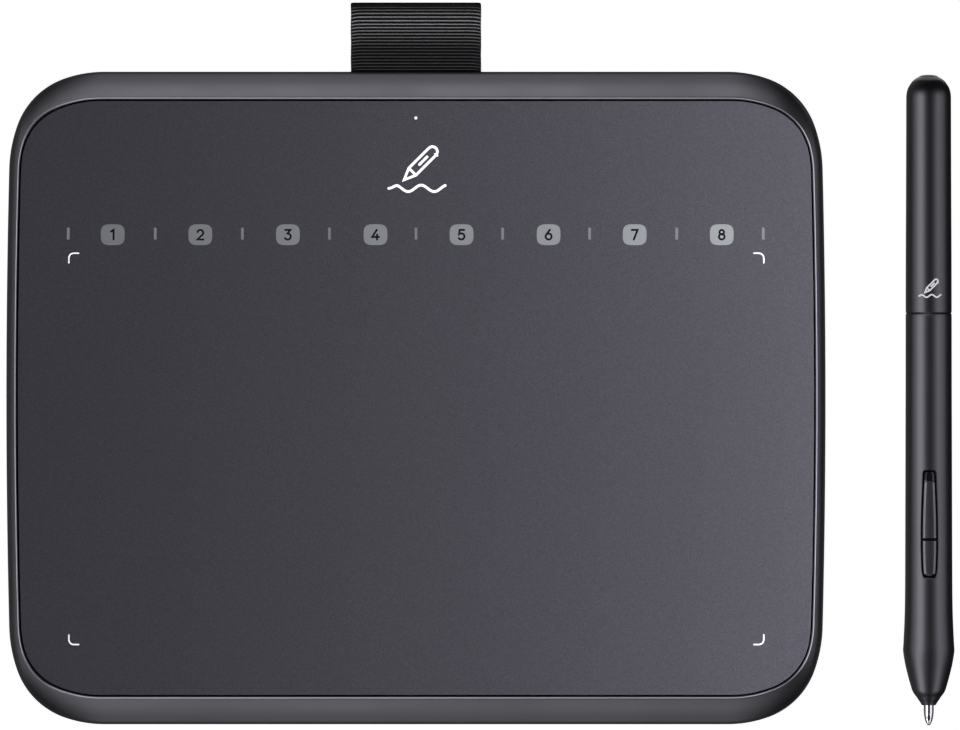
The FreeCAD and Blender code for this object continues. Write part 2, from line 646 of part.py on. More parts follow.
# --------------------------------------------------------------------------
# Controller board and what is on it
# --------------------------------------------------------------------------
ctl = new_body("controller_board")
sk = sketch_on(ctl, "XY_Plane", S.ctl_z)
cut_in = -S.port_mouth + S.port_long + 0.15
polygon(sk, [(-S.ctl_left, S.ctl_front), (-S.ctl_right, S.ctl_front), (-S.ctl_right, S.ctl_rear),
             (-S.ctl_left, S.ctl_rear), (-S.ctl_left, S.port_y + 4.62), (cut_in, S.port_y + 4.62),
             (cut_in, S.port_y - 4.62), (-S.ctl_left, S.port_y - 4.62)])
for x, y in standoff_xy:
    circle(sk, x, y, 0.9)
pad(ctl, sk, S.ctl_thick)
on_tablet(ctl)
board_top = S.ctl_z + S.ctl_thick

chip = blocks("main_chip", board_top, 0.9, [(-77.0, 43.5, -70.0, 50.5)])
on_tablet(chip)
crystal = blocks("crystal", board_top, 0.7, [(-66.5, 44.0, -63.3, 46.5)])
on_tablet(crystal)
small = [(-82.5 + 2.4 * k, 41.2, -81.7 + 2.4 * k, 42.8) for k in range(8)]
small += [(-60.0 + 2.6 * k, 55.4, -58.4 + 2.6 * k, 56.2) for k in range(6)]
caps = blocks("capacitors", board_top, 0.8, small)
on_tablet(caps)

joiners = new_body("flex_connectors")
sk = sketch_on(joiners, "XY_Plane", board_top)
rectangle(sk, -63.0, 50.0, -47.0, 54.0)
pad(joiners, sk, 1.1)
on_tablet(joiners)
upper = new_body("flex_socket")
sk = sketch_on(upper, "XY_Plane", under_board - 1.0)
rectangle(sk, -63.0, 42.4, -47.0, 46.4)
pad(upper, sk, 1.0)
on_tablet(upper)

# flat cable from the lower connector up to the socket under the digitizer
flex = new_body("flex_cable")
sk = sketch_on(flex, "YZ_Plane", -62.0)
low, high, thin = board_top + 0.45, under_board - 0.6, 0.2
polygon(sk, [(50.0, low), (49.2, low), (48.6, low + 0.15), (47.9, high - 0.15), (47.3, high), (46.4, high),
             (46.4, high + thin), (47.4, high + thin), (48.15, high + thin - 0.25), (48.85, low + thin + 0.25),
             (49.3, low + thin), (50.0, low + thin)])
pad(flex, sk, 14.0)
on_tablet(flex)

# USB-C receptacle: drawn shell and the tongue inside it
usb = new_body("usb_c_shell")
sk = sketch_on(usb, "YZ_Plane", -S.port_mouth)
stadium(sk, S.port_y, S.port_z, S.port_wide, S.port_tall)
pad(usb, sk, S.port_long)
sk = sketch_on(usb, "YZ_Plane", -S.port_mouth - 0.1)
stadium(sk, S.port_y, S.port_z, S.port_wide - S.port_wall * 2, S.port_tall - S.port_wall * 2)
pocket(usb, sk, S.port_long - S.port_wall + 0.1, back=True)
on_tablet(usb)

tongue = new_body("usb_c_tongue")
sk = sketch_on(tongue, "YZ_Plane", -S.port_mouth + S.port_long - S.port_wall - 1.6)
stadium(sk, S.port_y, S.port_z, S.port_wide - S.port_wall * 2 - 0.04, S.port_tall - S.port_wall * 2 - 0.04)
pad(tongue, sk, 1.58)
sk = sketch_on(tongue, "YZ_Plane", -S.port_mouth + S.port_long - S.port_wall - 1.6 - S.tongue_long)
rectangle(sk, S.port_y - S.tongue_wide / 2, S.port_z - S.tongue_thick / 2,
          S.port_y + S.tongue_wide / 2, S.port_z + S.tongue_thick / 2)
pad(tongue, sk, S.tongue_long + 0.5)
on_tablet(tongue)

# --------------------------------------------------------------------------
# Screws
# --------------------------------------------------------------------------
tablet_place = FreeCAD.Placement(V(S.tab_x.value, S.tab_y.value, 0), FreeCAD.Rotation())
case_screws = several("cover_screws", [
    screw(x.value, y.value, S.head_z.value, S.head_r.value, S.head_tall.value, S.shank_r.value, S.screw_long.value)
    for x, y in screw_xy])
case_screws.Placement = tablet_place
board_screws = several("board_screws", [
    screw(x, y, board_top.value + S.small_tall.value, S.small_head.value, S.small_tall.value, S.small_shank.value, 1.5, up=False)
    for x, y in standoff_xy])
board_screws.Placement = tablet_place

# --------------------------------------------------------------------------
# Pen loop: webbing loop, its tail in the slot, the bar and screws that clamp it
# --------------------------------------------------------------------------
def teardrop(sketch, y0, r0, y1, r1, z):
    """Two circles on one level joined by their outer tangent lines."""
    y0, r0, y1, r1, z = [Size.of(v) for v in (y0, r0, y1, r1, z)]
    alpha = math.asin((r1.value - r0.value) / (y1.value - y0.value))
    first = sketch.GeometryCount
    a0, a1 = math.pi / 2 + alpha, -math.pi / 2 - alpha

    def at(y, r, turn):
        return V(y.value + r.value * math.cos(turn), z.value + r.value * math.sin(turn), 0)

    sketch.addGeometry(Part.ArcOfCircle(Part.Circle(V(y1.value, z.value, 0), V(0, 0, 1), r1.value), a1, a0), False)
    sketch.addGeometry(Part.LineSegment(at(y1, r1, a0), at(y0, r0, a0)), False)
    sketch.addGeometry(Part.ArcOfCircle(Part.Circle(V(y0.value, z.value, 0), V(0, 0, 1), r0.value), a0, a1 + 2 * math.pi), False)
    sketch.addGeometry(Part.LineSegment(at(y0, r0, a1), at(y1, r1, a1)), False)
    for i in range(4):
        sketch.addConstraint(Sketcher.Constraint("Tangent", first + i, 2, first + (i + 1) % 4, 1))
    for geo, y, r in ((0, y1, r1), (2, y0, r0)):
        hold_x(sketch, first + geo, 3, y)
        hold_y(sketch, first + geo, 3, z)
        hold_radius(sketch, first + geo, r)


strap = new_body("pen_loop_strap")
sk = sketch_on(strap, "YZ_Plane", -S.loop_half)
teardrop(sk, S.loop_pivot, S.loop_root, S.loop_pivot + S.loop_reach, S.loop_r, S.loop_z)
teardrop(sk, S.loop_pivot + S.loop_in_start, S.loop_in_root, S.loop_pivot + S.loop_reach, S.loop_r - S.web_thick, S.loop_z)
pad(strap, sk, S.loop_half * 2)
on_tablet(strap)

tail = blocks("loop_tail", S.seat_z, S.tail_thick, [(-S.loop_half, S.tail_in, S.loop_half, S.tail_out)])
on_tablet(tail)

bar = new_body("loop_clamp_bar")
sk = sketch_on(bar, "XY_Plane", S.seat_z + S.tail_thick)
rectangle(sk, -S.clamp_half, 66.4, S.clamp_half, 71.6)
for side in (-1, 1):
    circle(sk, S.clamp_sx * side, S.clamp_sy, 0.8)
pad(bar, sk, S.clamp_thick)
on_tablet(bar)
bar_top = S.seat_z.value + S.tail_thick.value + S.clamp_thick.value
clamp_screws = several("clamp_screws", [
    screw(side * S.clamp_sx.value, S.clamp_sy.value, bar_top + 0.42, 1.4, 0.42, S.small_shank.value, 3.2, up=False)
    for side in (-1, 1)])
clamp_screws.Placement = tablet_place

# --------------------------------------------------------------------------
# Pen
# --------------------------------------------------------------------------
def pen_z(i):
    return getattr(S, "pz_%s" % chr(97 + i // 26) + chr(97 + i % 26))


def pen_r(i):
    return getattr(S, "pr_%s" % chr(97 + i // 26) + chr(97 + i % 26))


def turned(label, points):
    body = new_body(label)
    sketch = sketch_on(body, "XZ_Plane", 0.0)
    polygon(sketch, points)
    revolve(body, sketch)
    return body


SEAT, SEAM, LAST = 5, 23, len(PEN_OUTLINE) - 1

nose = turned("pen_nose_cone", [(pen_r(i), pen_z(i)) for i in range(0, SEAT)] +
              [(pen_r(SEAT) - 0.03, S.nose_seat), (3.28, S.nose_seat), (3.28, S.nose_seat + 1.95),
               (S.nib_hole, S.nose_seat + 1.95), (S.nib_hole, S.nose_end)])
on_pen(nose)

grip = turned("pen_lower_barrel", [(3.3, S.nose_seat)] + [(pen_r(i), pen_z(i)) for i in range(SEAT, SEAM)] +
              [(pen_r(SEAM) - 0.02, S.seam - 0.25), (pen_r(SEAM) - 0.2, S.seam), (S.bore_pen, S.seam), (S.bore_pen, 22.0),
               (3.6, 20.8), (3.6, 10.2), (3.3, 10.1)])

# slot for the side switch
def switch_outline(sketch, grow, z_of=lambda size: size):
    count = len(SWITCH_OUTLINE)
    right = []
    for i in range(count):
        z = getattr(S, "sz_%s" % chr(97 + i))
        x = getattr(S, "sx_%s" % chr(97 + i))
        if i == 0:
            z = z - grow
        elif i == count - 1:
            z = z + grow
        right.append((x + grow, z))
    polygon(sketch, right + [(-x, z) for x, z in reversed(right)])


sk = sketch_on(grip, "XZ_Plane", 3.0)
switch_outline(sk, S.sw_room)
pocket(grip, sk, 5.0, back=True)
# holes for the switch's pin, blind from the slot
sk = sketch_on(grip, "YZ_Plane", -S.sw_pin_half - 0.03)
circle(sk, -S.sw_depth, S.sw_pivot, S.sw_pin + 0.01)
pocket(grip, sk, S.sw_pin_half * 2 + 0.06, back=True)
on_pen(grip)

rear = turned("pen_upper_barrel", [(S.spigot_r - 0.9, S.spigot_end), (S.spigot_r, S.spigot_end), (S.spigot_r, S.seam),
              (pen_r(SEAM) - 0.2, S.seam), (pen_r(SEAM) - 0.02, S.seam + 0.25)] +
              [(pen_r(i), pen_z(i)) for i in range(SEAM + 1, LAST + 1)] +
              [(0.0, 148.3), (2.2, 147.6), (3.5, 146.0), (4.0, 144.0), (4.1, 98.0), (S.spigot_r - 0.9, 96.0)])
on_pen(rear)

nib = turned("pen_nib", [(getattr(S, "nr_%s" % chr(97 + i)), getattr(S, "nz_%s" % chr(97 + i))) for i in range(len(NIB_OUTLINE))] +
             [(S.nib_r, S.nib_shoulder), (S.nib_stem, S.nib_shoulder + 0.3), (S.nib_stem, S.nib_long - 0.3),
              (S.nib_stem - 0.25, S.nib_long), (0.0, S.nib_long)])
on_pen(nib)

core = turned("ferrite_core", [(S.core_bore, S.core_front), (S.core_r, S.core_front), (S.core_r, S.core_back), (S.core_bore, S.core_back)])
on_pen(core)
coil = turned("antenna_coil", [(S.core_r + 0.02, S.coil_front), (S.coil_r, S.coil_front), (S.coil_r, S.coil_back), (S.core_r + 0.02, S.coil_back)])
on_pen(coil)

holder = turned("nib_holder", [(S.holder_bore, S.holder_front), (S.holder_r - 0.4, S.holder_front), (S.holder_r, S.holder_front + 0.5),
                (S.holder_r, S.holder_back), (0.0, S.holder_back), (0.0, S.nib_long + 0.15), (S.holder_bore, S.nib_long + 0.15)])
on_pen(holder)

return_pad = turned("return_pad", [(0.0, S.pad_front), (1.5, S.pad_front), (1.7, S.sensor_front), (0.0, S.sensor_front)])
on_pen(return_pad)
sensor = turned("pressure_sensor", [(0.0, S.sensor_front), (S.sensor_r, S.sensor_front), (S.sensor_r, S.sensor_back), (0.0, S.sensor_back)])
on_pen(sensor)

chassis = turned("pen_chassis", [(S.cup_r, 22.4), (S.inner_r, 22.4), (S.inner_r, S.trough_front), (S.trough_r, S.trough_front),
                 (S.trough_r, S.pad_front), (S.cup_r, S.pad_front)])
sk = sketch_on(chassis, "XY_Plane", S.trough_front - 0.3)
half = math.sqrt(numbers["inner_r"] ** 2 - numbers["pcb_under"] ** 2)
half_in = math.sqrt(numbers["trough_r"] ** 2 - numbers["pcb_under"] ** 2)
# half tube under the circuit board, its rims level with the board's underside
g = sk.GeometryCount
lift = math.asin(numbers["pcb_under"] / numbers["inner_r"])
lift_in = math.asin(numbers["pcb_under"] / numbers["trough_r"])
sk.addGeometry(Part.ArcOfCircle(Part.Circle(V(0, 0, 0), V(0, 0, 1), numbers["inner_r"]), lift, math.pi - lift), False)
sk.addGeometry(Part.LineSegment(V(-half, numbers["pcb_under"], 0), V(-half_in, numbers["pcb_under"], 0)), False)
sk.addGeometry(Part.ArcOfCircle(Part.Circle(V(0, 0, 0), V(0, 0, 1), numbers["trough_r"]), lift_in, math.pi - lift_in), False)
sk.addGeometry(Part.LineSegment(V(half_in, numbers["pcb_under"], 0), V(half, numbers["pcb_under"], 0)), False)
sk.addConstraint(Sketcher.Constraint("Coincident", g, 2, g + 1, 1))
sk.addConstraint(Sketcher.Constraint("Coincident", g + 1, 2, g + 2, 2))
sk.addConstraint(Sketcher.Constraint("Coincident", g + 2, 1, g + 3, 1))
sk.addConstraint(Sketcher.Constraint("Coincident", g + 3, 2, g, 1))
sk.addConstraint(Sketcher.Constraint("Coincident", g, 3, -1, 1))
sk.addConstraint(Sketcher.Constraint("Coincident", g + 2, 3, -1, 1))
hold_radius(sk, g, S.inner_r)
hold_radius(sk, g + 2, S.trough_r)
sk.addConstraint(Sketcher.Constraint("Horizontal", g + 1))
sk.addConstraint(Sketcher.Constraint("Horizontal", g + 3))
hold_y(sk, g + 1, 1, S.pcb_under)
hold_y(sk, g + 3, 1, S.pcb_under)
pad(chassis, sk, S.trough_back - S.trough_front + 0.3)
on_pen(chassis)

pcb = new_body("pen_circuit_board")
sk = sketch_on(pcb, "XZ_Plane", -S.pcb_under)
rectangle(sk, -S.pcb_half, S.trough_front + 0.2, S.pcb_half, S.pcb_back)
pad(pcb, sk, S.pcb_thick)
on_pen(pcb)

# two tactile switches on the board, each a square base with a round plunger
tacts = new_body("tact_switches")
sk = sketch_on(tacts, "XZ_Plane", S.pcb_thick - S.pcb_under)
for z in (S.sw_tact_a, S.sw_tact_b):
    rectangle(sk, -1.75, z - 1.75, 1.75, z + 1.75)
pad(tacts, sk, S.tact_tall)
sk = sketch_on(tacts, "XZ_Plane", S.pcb_thick - S.pcb_under + S.tact_tall - 0.2)
for z in (S.sw_tact_a, S.sw_tact_b):
    circle(sk, 0.0, z, 0.8)
pad(tacts, sk, S.tact_top - (S.pcb_thick - S.pcb_under + S.tact_tall - 0.2))
on_pen(tacts)

# side switch: one rocker with a groove over its pin, long arm to the rear
rocker = new_body("side_rocker")
sk = sketch_on(rocker, "XZ_Plane", S.sw_under)
switch_outline(sk, ZERO)
pad(rocker, sk, S.sw_crown - S.sw_under)
sk = sketch_on(rocker, "YZ_Plane", -1.45)
circle(sk, -S.sw_depth, S.sw_pivot, S.sw_hub)
pad(rocker, sk, 2.9)
sk = sketch_on(rocker, "XZ_Plane", S.sw_nub)
for z in (S.sw_tact_a, S.sw_tact_b):
    circle(sk, 0.0, z, 0.9)
pad(rocker, sk, S.sw_under - S.sw_nub + 0.2)
sk = sketch_on(rocker, "YZ_Plane", -3.0)
circle(sk, -S.sw_depth, S.sw_pivot, S.sw_bore)
pocket(rocker, sk, 6.0, back=True)
# groove across the crown and a ramp at the rear end
sk = sketch_on(rocker, "YZ_Plane", -3.0)
polygon(sk, [(-S.sw_crown - 0.05, S.sw_pivot - 0.5), (-S.sw_crown - 0.05, S.sw_pivot + 0.5), (-S.sw_crown + 0.45, S.sw_pivot)])
pocket(rocker, sk, 6.0, back=True)
sk = sketch_on(rocker, "YZ_Plane", -3.0)
polygon(sk, [(-S.sw_crown - 0.05, S.sw_top - 2.3), (-S.sw_crown + 0.75, S.sw_top + 0.1), (-S.sw_crown - 0.05, S.sw_top + 0.1)])
pocket(rocker, sk, 6.0, back=True)
# bevels along both long edges
for side in (-1, 1):
    sk = sketch_on(rocker, "XY_Plane", S.sw_bottom - 1.0)
    polygon(sk, [(1.02 * side, -S.sw_crown - 0.02), (2.1 * side, -S.sw_crown - 0.02), (2.1 * side, -S.sw_crown + 0.98)])
    pocket(rocker, sk, S.sw_top - S.sw_bottom + 2.0, back=True)
on_pen(rocker)

pin = new_body("rocker_pin")
sk = sketch_on(pin, "YZ_Plane", -S.sw_pin_half)
circle(sk, -S.sw_depth, S.sw_pivot, S.sw_pin)
pad(pin, sk, S.sw_pin_half * 2)
on_pen(pin)

# --------------------------------------------------------------------------
# Check everything, then write one file per part
# --------------------------------------------------------------------------
doc.recompute()
bad = []
for item in doc.Objects:
    if "Invalid" in item.State or "Error" in item.State:
        bad.append("%s (%s): %s" % (item.Name, item.Label, item.State))
for item in parts:
    shape = item.Shape
    if shape.isNull() or not shape.isValid() or shape.Volume <= 0 or not shape.Solids:
        bad.append("%s: shape is null, invalid or empty" % item.Label)
if bad:
    print("\n".join(bad))
    sys.exit(1)
if len(parts) > 60:
    sys.exit("too many parts")

os.makedirs("parts", exist_ok=True)
whole = FreeCAD.BoundBox()
for item in parts:
    item.Shape.exportStep(os.path.join("parts", item.Label + ".step"))
    box = item.Shape.BoundBox
    whole.add(box)
    print("%-20s solids %2d  volume %10.2f  x %8.2f %8.2f  y %8.2f %8.2f  z %6.2f %6.2f" % (
        item.Label, len(item.Shape.Solids), item.Shape.Volume, box.XMin, box.XMax, box.YMin, box.YMax, box.ZMin, box.ZMax))
print("whole: x %.3f %.3f  y %.3f %.3f  z %.3f %.3f" % (whole.XMin, whole.XMax, whole.YMin, whole.YMax, whole.ZMin, whole.ZMax))
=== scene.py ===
import math

import bmesh
import bpy
import numpy as np
from mathutils import Matrix, Vector


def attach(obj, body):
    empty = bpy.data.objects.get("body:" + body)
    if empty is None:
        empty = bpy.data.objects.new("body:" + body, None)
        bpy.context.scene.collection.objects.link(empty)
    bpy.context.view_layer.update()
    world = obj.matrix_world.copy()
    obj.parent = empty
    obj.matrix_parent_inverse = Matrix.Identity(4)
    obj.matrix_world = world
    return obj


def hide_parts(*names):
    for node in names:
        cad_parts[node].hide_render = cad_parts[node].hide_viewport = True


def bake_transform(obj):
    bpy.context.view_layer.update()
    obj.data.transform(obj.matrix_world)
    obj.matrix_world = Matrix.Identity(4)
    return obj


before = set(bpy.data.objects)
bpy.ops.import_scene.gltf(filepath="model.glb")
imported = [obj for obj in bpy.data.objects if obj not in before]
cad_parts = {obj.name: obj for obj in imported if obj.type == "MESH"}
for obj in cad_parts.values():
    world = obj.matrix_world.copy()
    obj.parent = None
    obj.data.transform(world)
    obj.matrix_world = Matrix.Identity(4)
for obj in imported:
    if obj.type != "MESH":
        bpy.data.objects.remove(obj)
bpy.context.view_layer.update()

MM = 0.001
TX, TY = -14.828, -7.781          # the tablet's middle, mm

# --------------------------------------------------------------------------
# Sizes shared with the frame, mm
# --------------------------------------------------------------------------
# half width, half depth, easing arc, corner arc, side easing arc, side bow, corner centre
OUT = np.array([94.237, 75.059, 27.949, 17.673, 32.044, 2124.488, 75.0456, 56.8181])
GAP = np.array([91.669, 68.426, 25.86, 13.5, 25.16, 1874.381, 77.169, 53.9599])
GAP_HALF, RIM_LAND, RIM_BEVEL = 0.19, 0.45, 0.38
PART_Z, RIM_Z, SHEET_TOP = 5.8, 9.1, 9.0

PEN_X, PEN_Y, PEN_Z, PEN_LIE = 103.142, -83.111, 6.02828, math.radians(0.34709)
PEN_OUTLINE = [
    (4.70, 1.62), (5.29, 1.967), (5.98, 2.444), (6.67, 2.898), (7.36, 3.427), (8.05, 3.818),
    (9.43, 4.232), (10.81, 4.635), (12.19, 4.98), (13.57, 5.325), (14.95, 5.589), (16.33, 5.819),
    (17.48, 5.9225), (18.4, 5.859), (19.78, 5.785), (21.85, 5.681), (23.92, 5.60), (26.45, 5.52),
    (31.05, 5.457), (40.25, 5.4165), (54.05, 5.382), (67.85, 5.3475), (81.65, 5.313), (94.76, 5.3015),
    (109.25, 5.267), (123.05, 5.2095), (136.85, 5.175), (144.67, 5.152), (145.6, 5.048), (146.51, 4.80),
    (147.43, 4.2895), (148.35, 3.588), (148.81, 2.984), (149.27, 2.179), (149.60, 1.25), (149.72, 0.0),
]
SWITCH_OUTLINE = [(34.46, 0.86), (34.9, 1.23), (36.2, 1.38), (40.5, 1.52), (44.5, 1.525), (48.5, 1.44),
                  (53.0, 1.23), (57.0, 1.00), (57.85, 0.92), (58.25, 0.62)]
SWITCH_BACK, SWITCH_END, SWITCH_CROWN = 34.46, 58.25, 5.75
NIB_OUTLINE = [(0.0, 0.0), (0.08, 0.21), (0.23, 0.37), (0.46, 0.51), (1.15, 0.83), (1.84, 0.985), (2.53, 1.085),
               (3.22, 1.148), (4.6, 1.157)]


# --------------------------------------------------------------------------
# Mesh helpers: everything is drawn in millimetres in the row frame
# --------------------------------------------------------------------------
def grown(values, by):
    out = values.copy()
    out[:6] += by
    return out


def loop_points(values, n_side=10, n_ease=14, n_corner=30, n_line=12):
    """Points once round a tablet outline, counter-clockwise from +X, with matching places on every outline."""
    w, d, ra, rb, rc, rs, cx, cy = values
    side = w - rs
    t0, t1 = 0.025, 0.35
    for _ in range(60):
        gx = side + (rs - rc) * math.cos(t0) + (rc - rb) * math.cos(t1) - cx
        gy = (rs - rc) * math.sin(t0) + (rc - rb) * math.sin(t1) - cy
        a, b = -(rs - rc) * math.sin(t0), -(rc - rb) * math.sin(t1)
        c, e = (rs - rc) * math.cos(t0), (rc - rb) * math.cos(t1)
        det = a * e - b * c
        t0, t1 = t0 - (gx * e - gy * b) / det, t1 - (a * gy - c * gx) / det
    t2 = math.asin((cy - d + ra) / (ra - rb))
    ccx, ccy = side + (rs - rc) * math.cos(t0), (rs - rc) * math.sin(t0)
    cax, cay = cx - (ra - rb) * math.cos(t2), d - ra
    q = []
    for k in range(n_side):
        t = t0 * k / n_side
        q.append((side + rs * math.cos(t), rs * math.sin(t)))
    for k in range(n_ease):
        t = t0 + (t1 - t0) * k / n_ease
        q.append((ccx + rc * math.cos(t), ccy + rc * math.sin(t)))
    for k in range(n_corner):
        t = t1 + (t2 - t1) * k / n_corner
        q.append((cx + rb * math.cos(t), cy + rb * math.sin(t)))
    for k in range(n_ease):
        t = t2 + (math.pi / 2 - t2) * k / n_ease
        q.append((cax + ra * math.cos(t), cay + ra * math.sin(t)))
    for k in range(n_line + 1):
        q.append((cax * (1 - k / n_line), d))
    q = np.array(q)
    m = q[:-1][::-1] * [-1, 1]
    top = np.vstack([q, m])                       # +X round to -X by the rear
    bottom = top[1:-1][::-1] * [1, -1]
    return np.vstack([top, bottom]) + [TX, TY]


def at_z(points, z):
    return np.column_stack([points, np.full(len(points), float(z))])


def grid_faces(rows, cols, first=0, wrap_cols=True, wrap_rows=False):
    faces = []
    for i in range(rows if wrap_rows else rows - 1):
        a, b = first + i * cols, first + ((i + 1) % rows) * cols
        for j in range(cols if wrap_cols else cols - 1):
            k = (j + 1) % cols
            faces.append((a + j, a + k, b + k, b + j))
    return faces


class Build:
    """Collects vertices and faces in millimetres."""

    def __init__(self):
        self.v, self.f, self.uv = [], [], None

    def add(self, verts, faces):
        first = len(self.v)
        self.v.extend([tuple(map(float, p)) for p in verts])
        self.f.extend([tuple(first + i for i in f) for f in faces])
        return first

    def rows(self, rows, wrap_rows=False, caps=False):
        rows = [np.asarray(r, float) for r in rows]
        cols = len(rows[0])
        faces = grid_faces(len(rows), cols, 0, True, wrap_rows)
        if caps:
            faces.append(tuple(range(cols))[::-1])
            faces.append(tuple((len(rows) - 1) * cols + i for i in range(cols)))
        return self.add(np.vstack(rows), faces)

    def prism(self, outline, z0, z1, bevel=0.0):
        outline = np.asarray(outline, float)
        n = len(outline)
        rows = [at_z(outline, z0), at_z(outline, z1 - bevel)]
        if bevel:
            mid = outline.mean(0)
            d = outline - mid
            rows.append(at_z(mid + d * (1 - bevel / np.linalg.norm(d, axis=1))[:, None], z1))
        return self.rows(rows, caps=True)

    def ribbon(self, path, width, z0, z1, closed=False, place=None, cap=6):
        """A flat stroke of constant width along a path in the plane, with round ends."""
        p = np.asarray(path, float)
        n = len(p)
        tangent = np.zeros_like(p)
        for i in range(n):
            a = p[(i - 1) % n] if (closed or i) else p[0]
            b = p[(i + 1) % n] if (closed or i < n - 1) else p[-1]
            d1 = p[i] - a if (closed or i) else b - p[i]
            d2 = b - p[i] if (closed or i < n - 1) else d1
            d1 = d1 / (np.linalg.norm(d1) or 1)
            d2 = d2 / (np.linalg.norm(d2) or 1)
            t = d1 + d2
            t = t / (np.linalg.norm(t) or 1)
            tangent[i] = t
            p_norm = np.array([-t[1], t[0]])
            stretch = 1 / max(0.45, abs(p_norm @ np.array([-d1[1], d1[0]])))
            tangent[i] *= stretch
        left = p + np.column_stack([-tangent[:, 1], tangent[:, 0]]) * width / 2
        right = p - np.column_stack([-tangent[:, 1], tangent[:, 0]]) * width / 2
        if closed:
            flat = np.vstack([left, right])
            faces2 = [(i, (i + 1) % n, n + (i + 1) % n, n + i) for i in range(n)]
            rims = [[i for i in range(n)], [n + i for i in range(n)][::-1]]
        else:
            start, end = [], []
            for k in range(1, cap):
                turn = math.pi * k / cap
                d = (left[0] - p[0])
                start.append(p[0] + d * math.cos(turn) + np.array([-d[1], d[0]]) * math.sin(turn))
                d = (right[-1] - p[-1])
                end.append(p[-1] + d * math.cos(turn) + np.array([-d[1], d[0]]) * math.sin(turn))
            flat = np.vstack([left, right, np.array(start), np.array(end)])
            s0, e0 = 2 * n, 2 * n + cap - 1
            faces2 = [(i, i + 1, n + i + 1, n + i) for i in range(n - 1)]
            faces2.append(tuple([0] + list(range(s0, s0 + cap - 1)) + [n]))
            faces2.append(tuple([2 * n - 1] + list(range(e0, e0 + cap - 1)) + [n - 1]))
            rims = [[i for i in range(n)][::-1] + list(range(s0, s0 + cap - 1)) +
                    [n + i for i in range(n)] + list(range(e0, e0 + cap - 1))]
        m = len(flat)
        if place is None:
            verts = np.vstack([at_z(flat, z0), at_z(flat, z1)])
        else:
            verts = np.vstack([place(flat, z0), place(flat, z1)])
        faces = [tuple(m + i for i in f) for f in faces2] + [tuple(f)[::-1] for f in faces2]
        for rim in rims:
            for a, b in zip(rim, rim[1:] + rim[:1]):
                faces.append((a, b, m + b, m + a))
        return self.add(verts, faces)

    def lathe(self, profile, turns=96, closed=False, place=None):
        """profile: (along, radius) points; closed profiles are hollow rings."""
        angles = np.arange(turns) * 2 * math.pi / turns
        verts, index = [], []
        for z, r in profile:
            if r < 1e-9:
                index.append([len(verts)] * turns)
                verts.append((0.0, 0.0, z))
            else:
                index.append(list(range(len(verts), len(verts) + turns)))
                verts.extend(zip(r * np.sin(angles), -r * np.cos(angles), [z] * turns))
        faces = []
        count = len(profile)
        for i in range(count if closed else count - 1):
            a, b = index[i], index[(i + 1) % count]
            for j in range(turns):
                k = (j + 1) % turns
                f = [a[j], a[k], b[k], b[j]]
                f = [v for n, v in enumerate(f) if v != f[n - 1]]
                if len(f) > 2:
                    faces.append(tuple(f))
        if not closed:
            for i in (0, -1):
                if profile[i][1] > 1e-9:
                    faces.append(tuple(index[i]))
        verts = np.array(verts)
        if place is not None:
            verts = place(verts)
        return self.add(verts, faces)

    def make(self, name, material, body, node=(), slot=None, sharp=32.0, weld=False):
        mesh = bpy.data.meshes.new(name)
        mesh.from_pydata([(x * MM, y * MM, z * MM) for x, y, z in self.v], [], self.f)
        bm = bmesh.new()
        bm.from_mesh(mesh)
        if weld:
            bmesh.ops.remove_doubles(bm, verts=bm.verts, dist=1e-7)
        bmesh.ops.recalc_face_normals(bm, faces=bm.faces)
        mark_edges(bm, sharp)
        bm.to_mesh(mesh)
        bm.free()
        mesh.update()
        obj = bpy.data.objects.new(name, mesh)
        bpy.context.scene.collection.objects.link(obj)
        mesh.materials.append(material)
        if node:
            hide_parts(*([node] if isinstance(node, str) else node))
        if body:
            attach(obj, body)
        return obj


def mark_edges(bm, sharp):
    limit = math.radians(sharp)
    for f in bm.faces:
        f.smooth = True
    for e in bm.edges:
        if len(e.link_faces) == 2:
            try:
                e.smooth = e.calc_face_angle() < limit
            except ValueError:
                e.smooth = True
        else:
            e.smooth = False


def pchip(points, xs):
    """Smooth curve through the points that never overshoots them."""
    x = np.array([p[0] for p in points], float)
    y = np.array([p[1] for p in points], float)
    h, d = np.diff(x), np.diff(y) / np.diff(x)
    m = np.zeros(len(x))
    for i in range(1, len(x) - 1):
        if d[i - 1] * d[i] > 0:
            w1, w2 = 2 * h[i] + h[i - 1], h[i] + 2 * h[i - 1]
            m[i] = (w1 + w2) / (w1 / d[i - 1] + w2 / d[i])
    m[0], m[-1] = d[0], d[-1]
    xs = np.clip(np.asarray(xs, float), x[0], x[-1])
    k = np.clip(np.searchsorted(x, xs) - 1, 0, len(h) - 1)
    t = (xs - x[k]) / h[k]
    return ((2 * t**3 - 3 * t**2 + 1) * y[k] + (t**3 - 2 * t**2 + t) * h[k] * m[k] +
            (-2 * t**3 + 3 * t**2) * y[k + 1] + (t**3 - t**2) * h[k] * m[k + 1])


def on_pen(verts):
    """Pen drawing frame (axis +Z from the tip, -Y up) to the row frame, mm."""
    v = np.asarray(verts, float)
    c, s = math.cos(PEN_LIE), math.sin(PEN_LIE)
    up, along = -v[:, 1], v[:, 2]
    return np.column_stack([PEN_X + v[:, 0], PEN_Y + c * along + s * up, PEN_Z - s * along + c * up])


